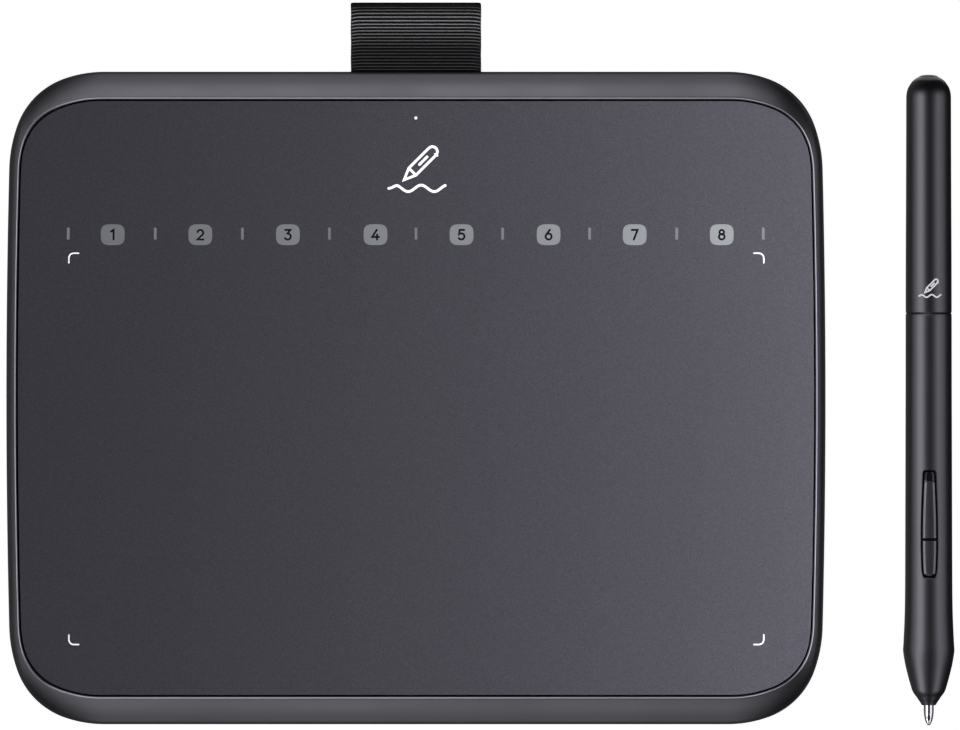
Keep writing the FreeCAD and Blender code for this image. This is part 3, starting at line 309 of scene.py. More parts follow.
# --------------------------------------------------------------------------
# Materials: all from nodes, object coordinates in metres
# --------------------------------------------------------------------------
class Mat:
    def __init__(self, name):
        self.m = bpy.data.materials.new(name)
        self.m.use_nodes = True
        self.t = self.m.node_tree
        self.t.nodes.clear()
        self.out = self.t.nodes.new("ShaderNodeOutputMaterial")
        self.b = self.t.nodes.new("ShaderNodeBsdfPrincipled")
        self.link(self.b.outputs[0], self.out.inputs[0])
        self.coord = self.t.nodes.new("ShaderNodeTexCoord")
        self.obj = self.coord.outputs["Object"]
        self.uv = self.coord.outputs["UV"]

    def link(self, a, b):
        self.t.links.new(a, b)
        return b

    def put(self, name, value):
        if isinstance(value, bpy.types.NodeSocket):
            self.link(value, self.b.inputs[name])
        else:
            if isinstance(value, (tuple, list)) and len(value) == 3:
                value = (*value, 1.0)
            self.b.inputs[name].default_value = value
        return self

    def node(self, kind, props=None, **inputs):
        n = self.t.nodes.new(kind)
        for k, v in (props or {}).items():
            setattr(n, k, v)
        for k, v in inputs.items():
            socket = n.inputs[k.replace("_", " ")] if k.replace("_", " ") in n.inputs else n.inputs[int(k[1:])]
            if isinstance(v, bpy.types.NodeSocket):
                self.link(v, socket)
            else:
                socket.default_value = v
        return n

    def stretch(self, scale, vec=None, turn=(0, 0, 0)):
        n = self.node("ShaderNodeMapping", Vector=vec or self.obj)
        n.inputs["Scale"].default_value = scale
        n.inputs["Rotation"].default_value = turn
        return n.outputs[0]

    def noise(self, scale, detail=2.0, rough=0.55, vec=None, distortion=0.0):
        n = self.node("ShaderNodeTexNoise", Vector=vec or self.obj, Scale=scale, Detail=detail, Roughness=rough,
                      Distortion=distortion)
        return n.outputs[0]

    def cells(self, scale, vec=None, feature="F1"):
        n = self.node("ShaderNodeTexVoronoi", {"feature": feature}, Vector=vec or self.obj, Scale=scale)
        return n.outputs["Distance"]

    def ramp(self, fac, stops, interpolation="LINEAR"):
        n = self.t.nodes.new("ShaderNodeValToRGB")
        self.link(fac, n.inputs[0])
        e = n.color_ramp.elements
        while len(e) < len(stops):
            e.new(0.5)
        for el, (pos, col) in zip(e, stops):
            el.position = pos
            el.color = (*col, 1.0) if len(col) == 3 else col
        n.color_ramp.interpolation = interpolation
        return n.outputs[0]

    def span(self, fac, a, b, c, d):
        n = self.node("ShaderNodeMapRange", Value=fac)
        for k, v in zip(("From Min", "From Max", "To Min", "To Max"), (a, b, c, d)):
            n.inputs[k].default_value = v
        return n.outputs[0]

    def math(self, op, a, b=0.0, c=None):
        n = self.t.nodes.new("ShaderNodeMath")
        n.operation = op
        for i, v in enumerate((a, b) if c is None else (a, b, c)):
            if isinstance(v, bpy.types.NodeSocket):
                self.link(v, n.inputs[i])
            else:
                n.inputs[i].default_value = v
        return n.outputs[0]

    def xyz(self, vec=None):
        n = self.node("ShaderNodeSeparateXYZ", Vector=vec or self.obj)
        return n.outputs[0], n.outputs[1], n.outputs[2]

    def mix(self, fac, a, b):
        n = self.t.nodes.new("ShaderNodeMix")
        n.data_type = "RGBA"
        for i, v in ((0, fac), (6, a), (7, b)):
            if isinstance(v, bpy.types.NodeSocket):
                self.link(v, n.inputs[i])
            else:
                n.inputs[i].default_value = (*v, 1.0) if isinstance(v, (tuple, list)) and len(v) == 3 else v
        return n.outputs[2]

    def bump(self, height, strength, distance, normal=None):
        n = self.node("ShaderNodeBump", Height=height, Strength=strength, Distance=distance)
        if normal is not None:
            self.link(normal, n.inputs["Normal"])
        return n.outputs[0]


def shade(colour, by):
    return tuple(min(1.0, c * by) for c in colour)


def plastic(name, colour, rough, grain=4200.0, depth=0.012, spread=0.10, ior=1.5, smear=0.05, coat=0.0):
    """Moulded plastic: fine spark texture, slight colour and gloss variation."""
    m = Mat(name)
    fine = m.noise(grain, 3.0, 0.6)
    broad = m.noise(60.0, 3.0, 0.6)
    both = m.math("ADD", m.math("MULTIPLY", fine, 0.7), m.math("MULTIPLY", broad, 0.3))
    m.put("Base Color", m.ramp(both, [(0.32, shade(colour, 1 - spread)), (0.68, shade(colour, 1 + spread))]))
    m.put("Roughness", m.span(both, 0.3, 0.7, rough - smear, rough + smear))
    m.put("IOR", ior)
    if coat:
        m.put("Coat Weight", coat)
        m.put("Coat Roughness", 0.12)
    m.put("Normal", m.bump(fine, 0.6, depth * MM))
    return m.m


def metal(name, colour, rough, streak=(1, 1, 1), scale=3000.0, depth=0.006):
    m = Mat(name)
    v = m.stretch(streak)
    fine = m.noise(scale, 4.0, 0.65, vec=v)
    spots = m.noise(400.0, 2.0)
    m.put("Base Color", m.ramp(spots, [(0.3, shade(colour, 0.86)), (0.7, colour)]))
    m.put("Metallic", 1.0)
    m.put("Roughness", m.span(fine, 0.3, 0.7, rough * 0.75, rough * 1.3))
    m.put("Normal", m.bump(fine, 0.4, depth * MM))
    return m.m


def board(name, mask, copper, pitch=0.9):
    """Circuit board: solder mask over a net of tracks, with a scatter of plated holes."""
    m = Mat(name)
    x, y, z = m.xyz()
    wob = m.noise(55.0, 0.0)
    band = m.math("FRACT", m.math("MULTIPLY", m.math("ADD", x, m.math("MULTIPLY", wob, 0.004)), 1000.0 / pitch))
    band2 = m.math("FRACT", m.math("MULTIPLY", m.math("ADD", y, m.math("MULTIPLY", wob, -0.003)), 1000.0 / pitch))
    pick = m.noise(90.0, 0.0)
    which = m.math("GREATER_THAN", pick, 0.5)
    line = m.math("ADD", m.math("MULTIPLY", which, m.math("LESS_THAN", band, 0.36)),
                  m.math("MULTIPLY", m.math("SUBTRACT", 1.0, which), m.math("LESS_THAN", band2, 0.36)))
    dots = m.math("LESS_THAN", m.cells(240.0), 0.09)
    grain = m.noise(1500.0, 2.0)
    base = m.mix(line, shade(mask, 0.8), shade(mask, 1.35))
    base = m.mix(dots, base, copper)
    base = m.mix(m.math("MULTIPLY", grain, 0.15), base, (0.0, 0.0, 0.0))
    m.put("Base Color", base)
    m.put("Metallic", m.math("MULTIPLY", dots, 0.9))
    m.put("Roughness", m.span(grain, 0.3, 0.7, 0.28, 0.42))
    m.put("Normal", m.bump(m.math("ADD", line, m.math("MULTIPLY", grain, 0.2)), 0.5, 0.03 * MM))
    return m.m


def frame_plastic():
    m = Mat("frame_plastic")
    fine = m.noise(5200.0, 3.0, 0.6)
    broad = m.noise(45.0, 3.0, 0.6)
    m.put("Base Color", m.ramp(fine, [(0.3, (0.0062, 0.0066, 0.0074)), (0.7, (0.0088, 0.0093, 0.0104))]))
    m.put("Roughness", m.span(broad, 0.3, 0.7, 0.34, 0.40))
    m.put("IOR", 1.62)
    m.put("Normal", m.bump(fine, 0.35, 0.008 * MM))
    return m.m


def film():
    m = Mat("sheet_film")
    fine = m.noise(3300.0, 4.0, 0.7)
    pits = m.cells(4200.0)
    broad = m.noise(30.0, 2.0, 0.5)
    grain = m.math("ADD", m.math("MULTIPLY", fine, 0.65), m.math("MULTIPLY", pits, 0.35))
    c = (0.0920, 0.0895, 0.1090)
    colour = m.ramp(grain, [(0.28, shade(c, 0.72)), (0.62, shade(c, 1.28))])
    m.put("Base Color", m.mix(m.span(broad, 0.3, 0.7, 0.0, 0.07), colour, shade(c, 0.7)))
    m.put("Roughness", m.span(fine, 0.3, 0.7, 0.52, 0.62))
    m.put("IOR", 1.46)
    m.put("Specular IOR Level", 0.02)
    m.put("Normal", m.bump(grain, 0.5, 0.012 * MM))
    return m.m


def ink(name, colour, rough=0.56, painted_glow=0.0, gloss=None):
    m = Mat(name)
    fine = m.noise(5200.0, 3.0, 0.7)
    m.put("Base Color", m.ramp(fine, [(0.3, shade(colour, 0.9)), (0.65, colour)]))
    m.put("Roughness", m.span(fine, 0.3, 0.7, rough - 0.06, rough + 0.06))
    m.put("Normal", m.bump(fine, 0.4, 0.006 * MM))
    if gloss is not None:
        m.put("Specular IOR Level", gloss)
    # painted light: emission makes the ink glow
    if painted_glow:
        m.put("Emission Color", m.ramp(fine, [(0.3, (0.93, 0.95, 0.97)), (0.65, (1.0, 1.0, 1.0))]))
        m.put("Emission Strength", painted_glow)
    return m.m


def rim_bevel():
    """Bright satin facet cut round the opening of the top frame."""
    m = Mat("rim_bevel")
    fine = m.noise(4200.0, 3.0, 0.6)
    broad = m.noise(70.0, 2.0)
    m.put("Base Color", m.ramp(fine, [(0.3, (0.275, 0.28, 0.29)), (0.7, (0.335, 0.34, 0.35))]))
    m.put("Metallic", 0.85)
    m.put("Roughness", m.span(broad, 0.3, 0.7, 0.30, 0.38))
    m.put("Normal", m.bump(fine, 0.3, 0.005 * MM))
    return m.m


def webbing():
    """Grosgrain: the ribs are modelled, the threads that wrap them come from the UV map (millimetres)."""
    m = Mat("webbing")
    x, y, z = m.xyz(m.uv)
    turns = m.math("DIVIDE", y, 0.77)
    row = m.math("FLOOR", turns)
    shift = m.math("MULTIPLY", m.math("MODULO", row, 2.0), 0.5)
    t = m.math("FRACT", m.math("ADD", m.math("DIVIDE", x, 0.36), shift))
    thread = m.math("SINE", m.math("MULTIPLY", t, math.pi))
    crest = m.math("SINE", m.math("MULTIPLY", m.math("FRACT", turns), math.pi))
    ply = m.math("SINE", m.math("MULTIPLY", m.math("ADD", m.math("MULTIPLY", x, 3.0), y), 22.0))
    fuzz = m.noise(2.6, 4.0, 0.7, vec=m.uv)
    height = m.math("ADD", m.math("MULTIPLY", thread, 0.8), m.math("MULTIPLY", ply, 0.06))
    # painted light: the outer end of the loop is painted paler than the part near the slot, and painted shade darkens
    # the fold at its far end
    painted_falloff = m.span(m.math("ABSOLUTE", m.math("SUBTRACT", y, 27.0)), 5.4, 12.2, 1.0, 0.14)
    painted_fold_shade = m.span(m.math("ABSOLUTE", m.math("SUBTRACT", y, 27.0)), 1.5, 4.6, 0.15, 1.0)
    painted_falloff = m.math("MULTIPLY", painted_falloff, painted_fold_shade)
    # painted highlight: each thread is painted paler along its crest
    lit = m.math("MULTIPLY", m.math("MULTIPLY", painted_falloff, m.span(thread, 0.0, 1.0, 0.55, 1.15)), m.span(fuzz, 0.3, 0.7, 1.15, 0.80))
    top = m.mix(lit, (0.0016, 0.0016, 0.0018), (0.108, 0.108, 0.110))
    # painted shade and highlight: the valleys between the ribs are painted near-black and the rib crests pale
    shape = m.ramp(crest, [(0.0, (0.01, 0.01, 0.01)), (0.74, (0.03, 0.03, 0.03)), (0.92, (0.36, 0.36, 0.36)), (1.0, (1.0, 1.0, 1.0))])
    m.put("Base Color", m.mix(shape, (0.0014, 0.0014, 0.0015), top))
    m.put("Roughness", m.span(crest, 0.3, 1.0, 0.80, 0.50))
    m.put("Specular IOR Level", 0.03)
    m.put("IOR", 1.5)
    m.put("Normal", m.bump(height, 0.7, 0.05 * MM))
    return m.m


def nib_plastic():
    m = Mat("nib_plastic")
    fine = m.noise(2500.0, 3.0)
    m.put("Base Color", m.ramp(fine, [(0.3, (0.36, 0.36, 0.365)), (0.7, (0.44, 0.44, 0.445))]))
    m.put("Metallic", 1.0)
    m.put("Roughness", m.span(fine, 0.3, 0.7, 0.08, 0.12))
    m.put("Normal", m.bump(fine, 0.3, 0.004 * MM))
    return m.m


def foam():
    m = Mat("foam")
    cell = m.cells(1500.0)
    m.put("Base Color", m.ramp(cell, [(0.0, (0.010, 0.010, 0.010)), (0.8, (0.045, 0.045, 0.045))]))
    m.put("Roughness", m.span(cell, 0.0, 0.8, 0.95, 0.8))
    m.put("Normal", m.bump(cell, 0.9, 0.15 * MM))
    return m.m


def rubber():
    m = Mat("foot_rubber")
    fine = m.noise(1800.0, 4.0, 0.65)
    dust = m.noise(160.0, 3.0)
    m.put("Base Color", m.mix(m.span(dust, 0.45, 0.75, 0.0, 0.35), m.ramp(fine, [(0.3, (0.012, 0.012, 0.013)), (0.7, (0.022, 0.022, 0.023))]),
                              (0.05, 0.05, 0.05)))
    m.put("Roughness", m.span(fine, 0.3, 0.7, 0.66, 0.84))
    m.put("Normal", m.bump(fine, 0.7, 0.03 * MM))
    return m.m


def flex_film():
    m = Mat("flex_film")
    x, y, z = m.xyz()
    lane = m.math("LESS_THAN", m.math("FRACT", m.math("MULTIPLY", x, 1000.0)), 0.55)
    grain = m.noise(900.0, 2.0)
    colour = m.mix(lane, (0.55, 0.50, 0.42), (0.62, 0.36, 0.12))
    m.put("Base Color", m.mix(m.math("MULTIPLY", grain, 0.2), colour, (0.2, 0.15, 0.1)))
    m.put("Roughness", m.span(grain, 0.3, 0.7, 0.25, 0.4))
    m.put("Normal", m.bump(lane, 0.3, 0.02 * MM))
    return m.m


def copper_wire():
    """Enamelled wire wound round the core, a turn every 0.16 mm along the pen."""
    m = Mat("copper_wire")
    x, y, z = m.xyz()
    t = m.math("FRACT", m.math("MULTIPLY", y, 1000.0 / 0.16))
    turn = m.math("SINE", m.math("MULTIPLY", t, math.pi))
    grain = m.noise(700.0, 2.0)
    # painted shade: each turn is painted dark brown towards the crevices between turns and copper on its crest
    m.put("Base Color", m.ramp(turn, [(0.0, (0.10, 0.025, 0.008)), (0.6, (0.62, 0.24, 0.09))]))
    m.put("Metallic", 0.85)
    m.put("Roughness", m.span(grain, 0.3, 0.7, 0.22, 0.38))
    m.put("Normal", m.bump(turn, 0.8, 0.06 * MM))
    return m.m


def port_plastic():
    """Black insulator with a row of gold contacts on the tongue."""
    m = Mat("port_plastic")
    x, y, z = m.xyz()
    t = m.math("FRACT", m.math("MULTIPLY", m.math("ADD", y, 0.0001), 1000.0 / 0.5))
    pin = m.math("LESS_THAN", t, 0.5)
    out = m.math("LESS_THAN", x, -0.1030)
    gold = m.math("MULTIPLY", pin, out)
    grain = m.noise(2500.0, 2.0)
    m.put("Base Color", m.mix(gold, (0.012, 0.012, 0.013), (0.80, 0.56, 0.20)))
    m.put("Metallic", gold)
    m.put("Roughness", m.span(grain, 0.3, 0.7, 0.28, 0.44))
    m.put("Normal", m.bump(m.math("ADD", gold, m.math("MULTIPLY", grain, 0.2)), 0.4, 0.02 * MM))
    return m.m


def glow():
    m = Mat("clear_plastic")
    grain = m.noise(3000.0, 2.0)
    x, y, z = m.xyz()
    tip = m.span(z, 0.0086, 0.00895, 0.25, 1.0)
    m.put("Base Color", m.ramp(grain, [(0.3, (0.80, 0.82, 0.84)), (0.7, (0.92, 0.93, 0.94))]))
    m.put("Roughness", m.span(grain, 0.3, 0.7, 0.25, 0.4))
    m.put("Emission Color", m.ramp(grain, [(0.3, (0.90, 0.95, 1.0)), (0.7, (1.0, 1.0, 1.0))]))
    m.put("Emission Strength", m.math("MULTIPLY", tip, 1.6))
    return m.m


def tape():
    m = Mat("adhesive")
    fibre = m.noise(900.0, 4.0, 0.7, distortion=0.4)
    m.put("Base Color", m.ramp(fibre, [(0.3, (0.006, 0.006, 0.006)), (0.7, (0.018, 0.018, 0.018))]))
    m.put("Roughness", m.span(fibre, 0.3, 0.7, 0.6, 0.9))
    m.put("Normal", m.bump(fibre, 0.6, 0.02 * MM))
    return m.m


def capacitor():
    m = Mat("ceramic")
    x, y, z = m.xyz()
    grain = m.noise(2500.0, 3.0)
    ends = m.math("LESS_THAN", m.math("ABSOLUTE", m.math("SUBTRACT", m.math("FRACT", m.math("MULTIPLY", y, 620.0)), 0.5)), 0.16)
    m.put("Base Color", m.mix(ends, m.ramp(grain, [(0.3, (0.24, 0.15, 0.08)), (0.7, (0.33, 0.22, 0.13))]), (0.72, 0.71, 0.69)))
    m.put("Metallic", m.math("MULTIPLY", ends, 0.9))
    m.put("Roughness", m.span(grain, 0.3, 0.7, 0.3, 0.5))
    m.put("Normal", m.bump(grain, 0.3, 0.01 * MM))
    return m.m


M = {
    "frame_plastic": frame_plastic(),
    "sheet_film": film(),
    # the support panel's own dark plastic, made near-black as painted shade for the gap round the film
    "panel_plastic": plastic("panel_plastic", (0.0040, 0.0041, 0.0045), 0.85, ior=1.25),
    "adhesive": tape(),
    "circuit_board": board("circuit_board", (0.012, 0.075, 0.032), (0.78, 0.52, 0.18)),
    "shield_steel": metal("shield_steel", (0.58, 0.58, 0.57), 0.34, (1, 40, 1)),
    "chip_plastic": plastic("chip_plastic", (0.014, 0.014, 0.015), 0.55, grain=5200.0, depth=0.01),
    "ceramic": capacitor(),
    "can_steel": metal("can_steel", (0.66, 0.65, 0.62), 0.25, (30, 1, 1)),
    "led_white": plastic("led_white", (0.72, 0.66, 0.40), 0.4),
    "clear_plastic": glow(),
    "foam": foam(),
    "cover_plastic": plastic("cover_plastic", (0.0105, 0.0108, 0.0118), 0.46, grain=2600.0, depth=0.03, spread=0.15),
    "foot_rubber": rubber(),
    "screw_steel": metal("screw_steel", (0.075, 0.075, 0.08), 0.36, (1, 1, 1), 2500.0),
    "port_steel": metal("port_steel", (0.62, 0.61, 0.60), 0.26, (1, 1, 30)),
    "port_plastic": port_plastic(),
    "flex_film": flex_film(),
    "connector_plastic": plastic("connector_plastic", (0.60, 0.57, 0.48), 0.42, grain=2600.0),
    "webbing": webbing(),
    "pen_plastic": plastic("pen_plastic", (0.0078, 0.0078, 0.0090), 0.37, grain=5200.0, depth=0.006, spread=0.12, ior=1.58, smear=0.03),
    "nose_plastic": plastic("nose_plastic", (0.0078, 0.0078, 0.0086), 0.38, grain=4200.0, depth=0.010, spread=0.15, ior=1.56),
    "nib_plastic": nib_plastic(),
    "switch_plastic": plastic("switch_plastic", (0.0088, 0.0088, 0.0098), 0.40, grain=5000.0, depth=0.006, spread=0.12, ior=1.58, smear=0.03),
    "ferrite": plastic("ferrite", (0.022, 0.021, 0.021), 0.6, grain=1800.0, depth=0.03, spread=0.3),
    "copper_wire": copper_wire(),
    # painted highlight: a copy of the switch plastic, a touch paler and more reflective, for the rocker's bevelled
    # sides
    "switch_bevel_highlight": plastic("switch_bevel_highlight", (0.0095, 0.0095, 0.0105), 0.38, grain=5000.0, depth=0.006, spread=0.12, ior=1.78, smear=0.03),
    # painted shade: a near-black matte put where the frame's opening and the rocker's groove and rear ledge lie in
    # shade
    "painted_gap_shade": plastic("painted_gap_shade", (0.0022, 0.0022, 0.0024), 0.85, grain=3000.0, depth=0.01, ior=1.2),
    "pin_steel": metal("pin_steel", (0.012, 0.012, 0.013), 0.5, (30, 1, 1), 2500.0),
    "silicone": plastic("silicone", (0.34, 0.35, 0.36), 0.55, grain=1500.0, depth=0.02),
    "holder_plastic": plastic("holder_plastic", (0.32, 0.32, 0.31), 0.45, grain=2200.0),
}
M["rim_bevel"] = rim_bevel()
for name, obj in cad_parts.items():
    obj.data.materials.clear()

# which finish each CAD node has, for the nodes that stay in view or inside
FINISH = {
    "top_frame": "frame_plastic", "drawing_sheet": "sheet_film", "support_panel": "panel_plastic", "panel_tape": "adhesive",
    "digitizer_board": "circuit_board", "shield_plate": "shield_steel", "switch_chips": "chip_plastic", "status_led": "led_white",
    "light_pipe": "clear_plastic", "foam_pads": "foam", "bottom_cover": "cover_plastic", "rubber_feet": "foot_rubber",
    "controller_board": "circuit_board", "main_chip": "chip_plastic", "crystal": "can_steel", "capacitors": "ceramic",
    "flex_connectors": "connector_plastic", "flex_socket": "connector_plastic", "flex_cable": "flex_film",
    "usb_c_shell": "port_steel", "usb_c_tongue": "port_plastic", "cover_screws": "screw_steel", "board_screws": "screw_steel",
    "loop_clamp_bar": "shield_steel", "clamp_screws": "screw_steel", "pen_loop_strap": "webbing", "loop_tail": "webbing",
    "pen_nose_cone": "nose_plastic", "pen_lower_barrel": "pen_plastic", "pen_upper_barrel": "pen_plastic", "pen_nib": "nib_plastic",
    "ferrite_core": "ferrite", "antenna_coil": "copper_wire", "nib_holder": "holder_plastic", "return_pad": "silicone",
    "pressure_sensor": "can_steel", "pen_chassis": "holder_plastic", "pen_circuit_board": "circuit_board",
    "tact_switches": "chip_plastic", "side_rocker": "switch_plastic", "rocker_pin": "pin_steel",
}
for name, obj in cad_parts.items():
    obj.data.materials.append(M[FINISH[name]])

# --------------------------------------------------------------------------
# Top frame
# --------------------------------------------------------------------------
rim = grown(GAP, GAP_HALF + RIM_LAND)
rows = []
STEPS = 26
for k in range(STEPS + 1):
    t = 1.0 - k / STEPS
    u = 2 * t * (1 - t) + t * t
    f = (1 - t) ** 2 + 2 * t * (1 - t) * 0.55
    rows.append(at_z(loop_points(rim + (OUT - rim) * u), PART_Z + (RIM_Z - PART_Z) * f))
rows.append(at_z(loop_points(grown(GAP, GAP_HALF + RIM_BEVEL + 0.02)), RIM_Z))
rows.append(at_z(loop_points(grown(GAP, GAP_HALF + RIM_BEVEL - 0.03)), RIM_Z - 0.015))
rows.append(at_z(loop_points(grown(GAP, GAP_HALF + 0.03)), RIM_Z - RIM_BEVEL + 0.035))
rows.append(at_z(loop_points(grown(GAP, GAP_HALF)), RIM_Z - RIM_BEVEL - 0.03))
rows.append(at_z(loop_points(grown(GAP, GAP_HALF)), 7.2))
rows.append(at_z(loop_points(grown(GAP, GAP_HALF - 2.46)), 7.2))
rows.append(at_z(loop_points(grown(GAP, GAP_HALF - 2.46)), 6.2))
rows.append(at_z(loop_points(grown(OUT, -1.9)), 6.2))
rows.append(at_z(loop_points(grown(OUT, -1.9)), PART_Z))
rows.append(at_z(loop_points(grown(OUT, -0.12)), PART_Z))
shell = Build()
shell.rows(rows, wrap_rows=True)
for sx in (-1, 1):
    for px, py in ((74.5, 66.8), (26.0, 67.5)):
        for sy in (-1, 1):
            cx, cy = TX + px * sx, TY + py * sy
            shell.lathe([(2.9, 0.87), (2.9, 2.1), (3.1, 2.3), (6.19, 2.3), (6.19, 0.87)], 40, closed=True,
                        place=lambda v, cx=cx, cy=cy: v + [cx, cy, 0])
frame_shell = shell.make("frame_shell", M["frame_plastic"], "tablet", "top_frame", "frame_plastic")
frame_shell.data.materials.append(M["rim_bevel"])
frame_shell.data.materials.append(M["painted_gap_shade"])
around = len(rows[0])
for p in frame_shell.data.polygons:
    v = [i // around for i in p.vertices]
    if min(v) >= STEPS + 1 and max(v) <= STEPS + 4:
        p.material_index = 1
    # painted shade: the inner wall of the opening and the ledge under the film's edge get the near-black matte
    elif min(v) >= STEPS + 4 and max(v) <= STEPS + 6:
        p.material_index = 2

# --------------------------------------------------------------------------
# Drawing film with the hole for the status light
# --------------------------------------------------------------------------
def filled_plate(name, rows, hole_xy, hole_r, material, node):
    """Closed plate: side rows, with top and bottom filled round one small hole."""
    cols = len(rows[0])
    bm = bmesh.new()
    grid = [[bm.verts.new(Vector(p) * MM) for p in row] for row in rows]
    for a, b in zip(grid, grid[1:]):
        for j in range(cols):
            k = (j + 1) % cols
            bm.faces.new((a[j], a[k], b[k], b[j]))
    ring = []
    for z in (rows[0][0][2], rows[-1][0][2]):
        ring.append([bm.verts.new(Vector((hole_xy[0] + hole_r * math.cos(t), hole_xy[1] + hole_r * math.sin(t), z)) * MM)
                     for t in np.arange(32) * 2 * math.pi / 32])
    for j in range(32):
        k = (j + 1) % 32
        bm.faces.new((ring[0][k], ring[0][j], ring[1][j], ring[1][k]))
    bm.edges.ensure_lookup_table()
    for loop, hole in ((grid[0], ring[0]), (grid[-1], ring[1])):
        edges = [bm.edges.get((a, b)) or bm.edges.new((a, b)) for a, b in zip(loop, loop[1:] + loop[:1])]
        edges += [bm.edges.get((a, b)) or bm.edges.new((a, b)) for a, b in zip(hole, hole[1:] + hole[:1])]
        bmesh.ops.triangle_fill(bm, use_beauty=True, use_dissolve=False, edges=edges)
    bmesh.ops.recalc_face_normals(bm, faces=bm.faces)
    mark_edges(bm, 20.0)
    mesh = bpy.data.meshes.new(name)
    bm.to_mesh(mesh)
    bm.free()
    obj = bpy.data.objects.new(name, mesh)
    bpy.context.scene.collection.objects.link(obj)
    mesh.materials.append(material)
    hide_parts(node)
    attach(obj, "tablet")
    return obj


edge = grown(GAP, -GAP_HALF)
film_piece = filled_plate("drawing_film", [at_z(loop_points(edge), 8.6), at_z(loop_points(edge), SHEET_TOP - 0.05),
                              at_z(loop_points(grown(edge, -0.05)), SHEET_TOP)],
             (TX, TY + 64.37), 0.32, M["sheet_film"], "drawing_sheet")

# --------------------------------------------------------------------------
# Printed marks on the film
# --------------------------------------------------------------------------
def mark_xy(px, py):
    """Places of the printed marks, mm: px and py count 0.23 mm steps from the film's own corner grid."""
    return (px - 415.37) * 0.23 + TX, (397.49 - py) * 0.23 + TY


INK_Z0, INK_Z1, INK_Z2 = SHEET_TOP - 0.004, SHEET_TOP + 0.012, SHEET_TOP + 0.022
M["badge_ink"] = ink("badge_ink", (0.395, 0.409, 0.436), gloss=0.06)
M["digit_ink"] = ink("digit_ink", (0.008, 0.008, 0.009), gloss=0.06)
M["tick_ink"] = ink("tick_ink", (0.26, 0.265, 0.285))
# painted light: the white marks glow a little by emission
M["white_ink"] = ink("white_ink", (0.86, 0.86, 0.87), painted_glow=0.62)


def squircle(cx, cy, w, h, power=3.4, n=72):
    t = np.arange(n) * 2 * math.pi / n
    c, s = np.cos(t), np.sin(t)
    return np.column_stack([cx + w / 2 * np.sign(c) * np.abs(c) ** (2 / power), cy + h / 2 * np.sign(s) * np.abs(s) ** (2 / power)])


def arc(cx, cy, r, a0, a1, n=14, ry=None):
    t = np.radians(np.linspace(a0, a1, n))
    return [(cx + r * math.cos(k), cy + (ry or r) * math.sin(k)) for k in t]


DIGITS = {
    "1": [[(-0.42, 0.72), (0.18, 1.1), (0.18, -1.1)]],
    "2": [arc(0.0, 0.44, 0.66, 165, -38, 16) + [(-0.66, -1.1), (0.72, -1.1)]],
    "3": [[(-0.62, 1.1), (0.56, 1.1), (-0.08, 0.28)] + arc(-0.06, -0.42, 0.70, 84, -145, 16)],
    "4": [[(0.30, 1.1), (-0.74, -0.52), (0.80, -0.52)], [(0.36, 0.02), (0.36, -1.1)]],
    "5": [[(0.60, 1.1), (-0.44, 1.1), (-0.56, 0.10)] + arc(-0.04, -0.40, 0.70, 128, -145, 16)],
    "6": [arc(0.0, -0.42, 0.68, 150, 510, 25)[:-1], [(0.30, 1.12), (-0.20, 0.52), (-0.58, -0.10)]],
    "7": [[(-0.66, 1.1), (0.66, 1.1), (-0.20, -1.1)]],
    "8": [arc(0.0, 0.56, 0.52, 0, 345, 22), arc(0.0, -0.46, 0.64, 0, 345, 24)],
}
CLOSED = {("6", 0), ("8", 0), ("8", 1)}

badges, digits, ticks, corners = Build(), Build(), Build(), Build()
for k, px in enumerate((112.5, 200.0, 287.5, 375.0, 461.0, 548.0, 634.0, 721.0)):
    cx, cy = mark_xy(px, 234.3)
    badges.prism(squircle(cx, cy, 5.45, 4.80), INK_Z0, INK_Z1)
    name = str(k + 1)
    for i, stroke in enumerate(DIGITS[name]):
        digits.ribbon([(cx + x * 1.0, cy + y * 1.0) for x, y in stroke], 0.47, INK_Z1 - 0.004, INK_Z2 + 0.001 * i,
                      closed=(name, i) in CLOSED)
for px in (68.0, 155.0, 242.0, 329.0, 415.5, 502.0, 589.0, 676.0, 762.5):
    cx, cy = mark_xy(px, 233.2)
    ticks.prism([(cx - 0.30, cy - 1.36), (cx + 0.30, cy - 1.36), (cx + 0.30, cy + 1.36), (cx - 0.30, cy + 1.36)], INK_Z0, INK_Z1)
for px, py, sx, sy in ((68.6, 252.8, 1, -1), (763.0, 252.8, -1, -1), (68.6, 643.8, 1, 1), (763.0, 643.8, -1, 1)):
    cx, cy = mark_xy(px, py)
    path = [(0.0, 2.25), (0.0, 1.25)] + arc(1.15, 1.15, 1.15, 180, 270, 9) + [(1.25, 0.0), (2.30, 0.0)]
    corners.ribbon([(cx + sx * x, cy + sy * y) for x, y in path], 0.32, INK_Z0, INK_Z1, cap=2)
on_film = [film_piece,
           badges.make("print_badges", M["badge_ink"], "tablet", sharp=20),
           digits.make("print_digits", M["digit_ink"], "tablet", sharp=20),
           ticks.make("print_ticks", M["tick_ink"], "tablet", sharp=20),
           corners.make("print_corner_marks", M["white_ink"], "tablet", sharp=20)]


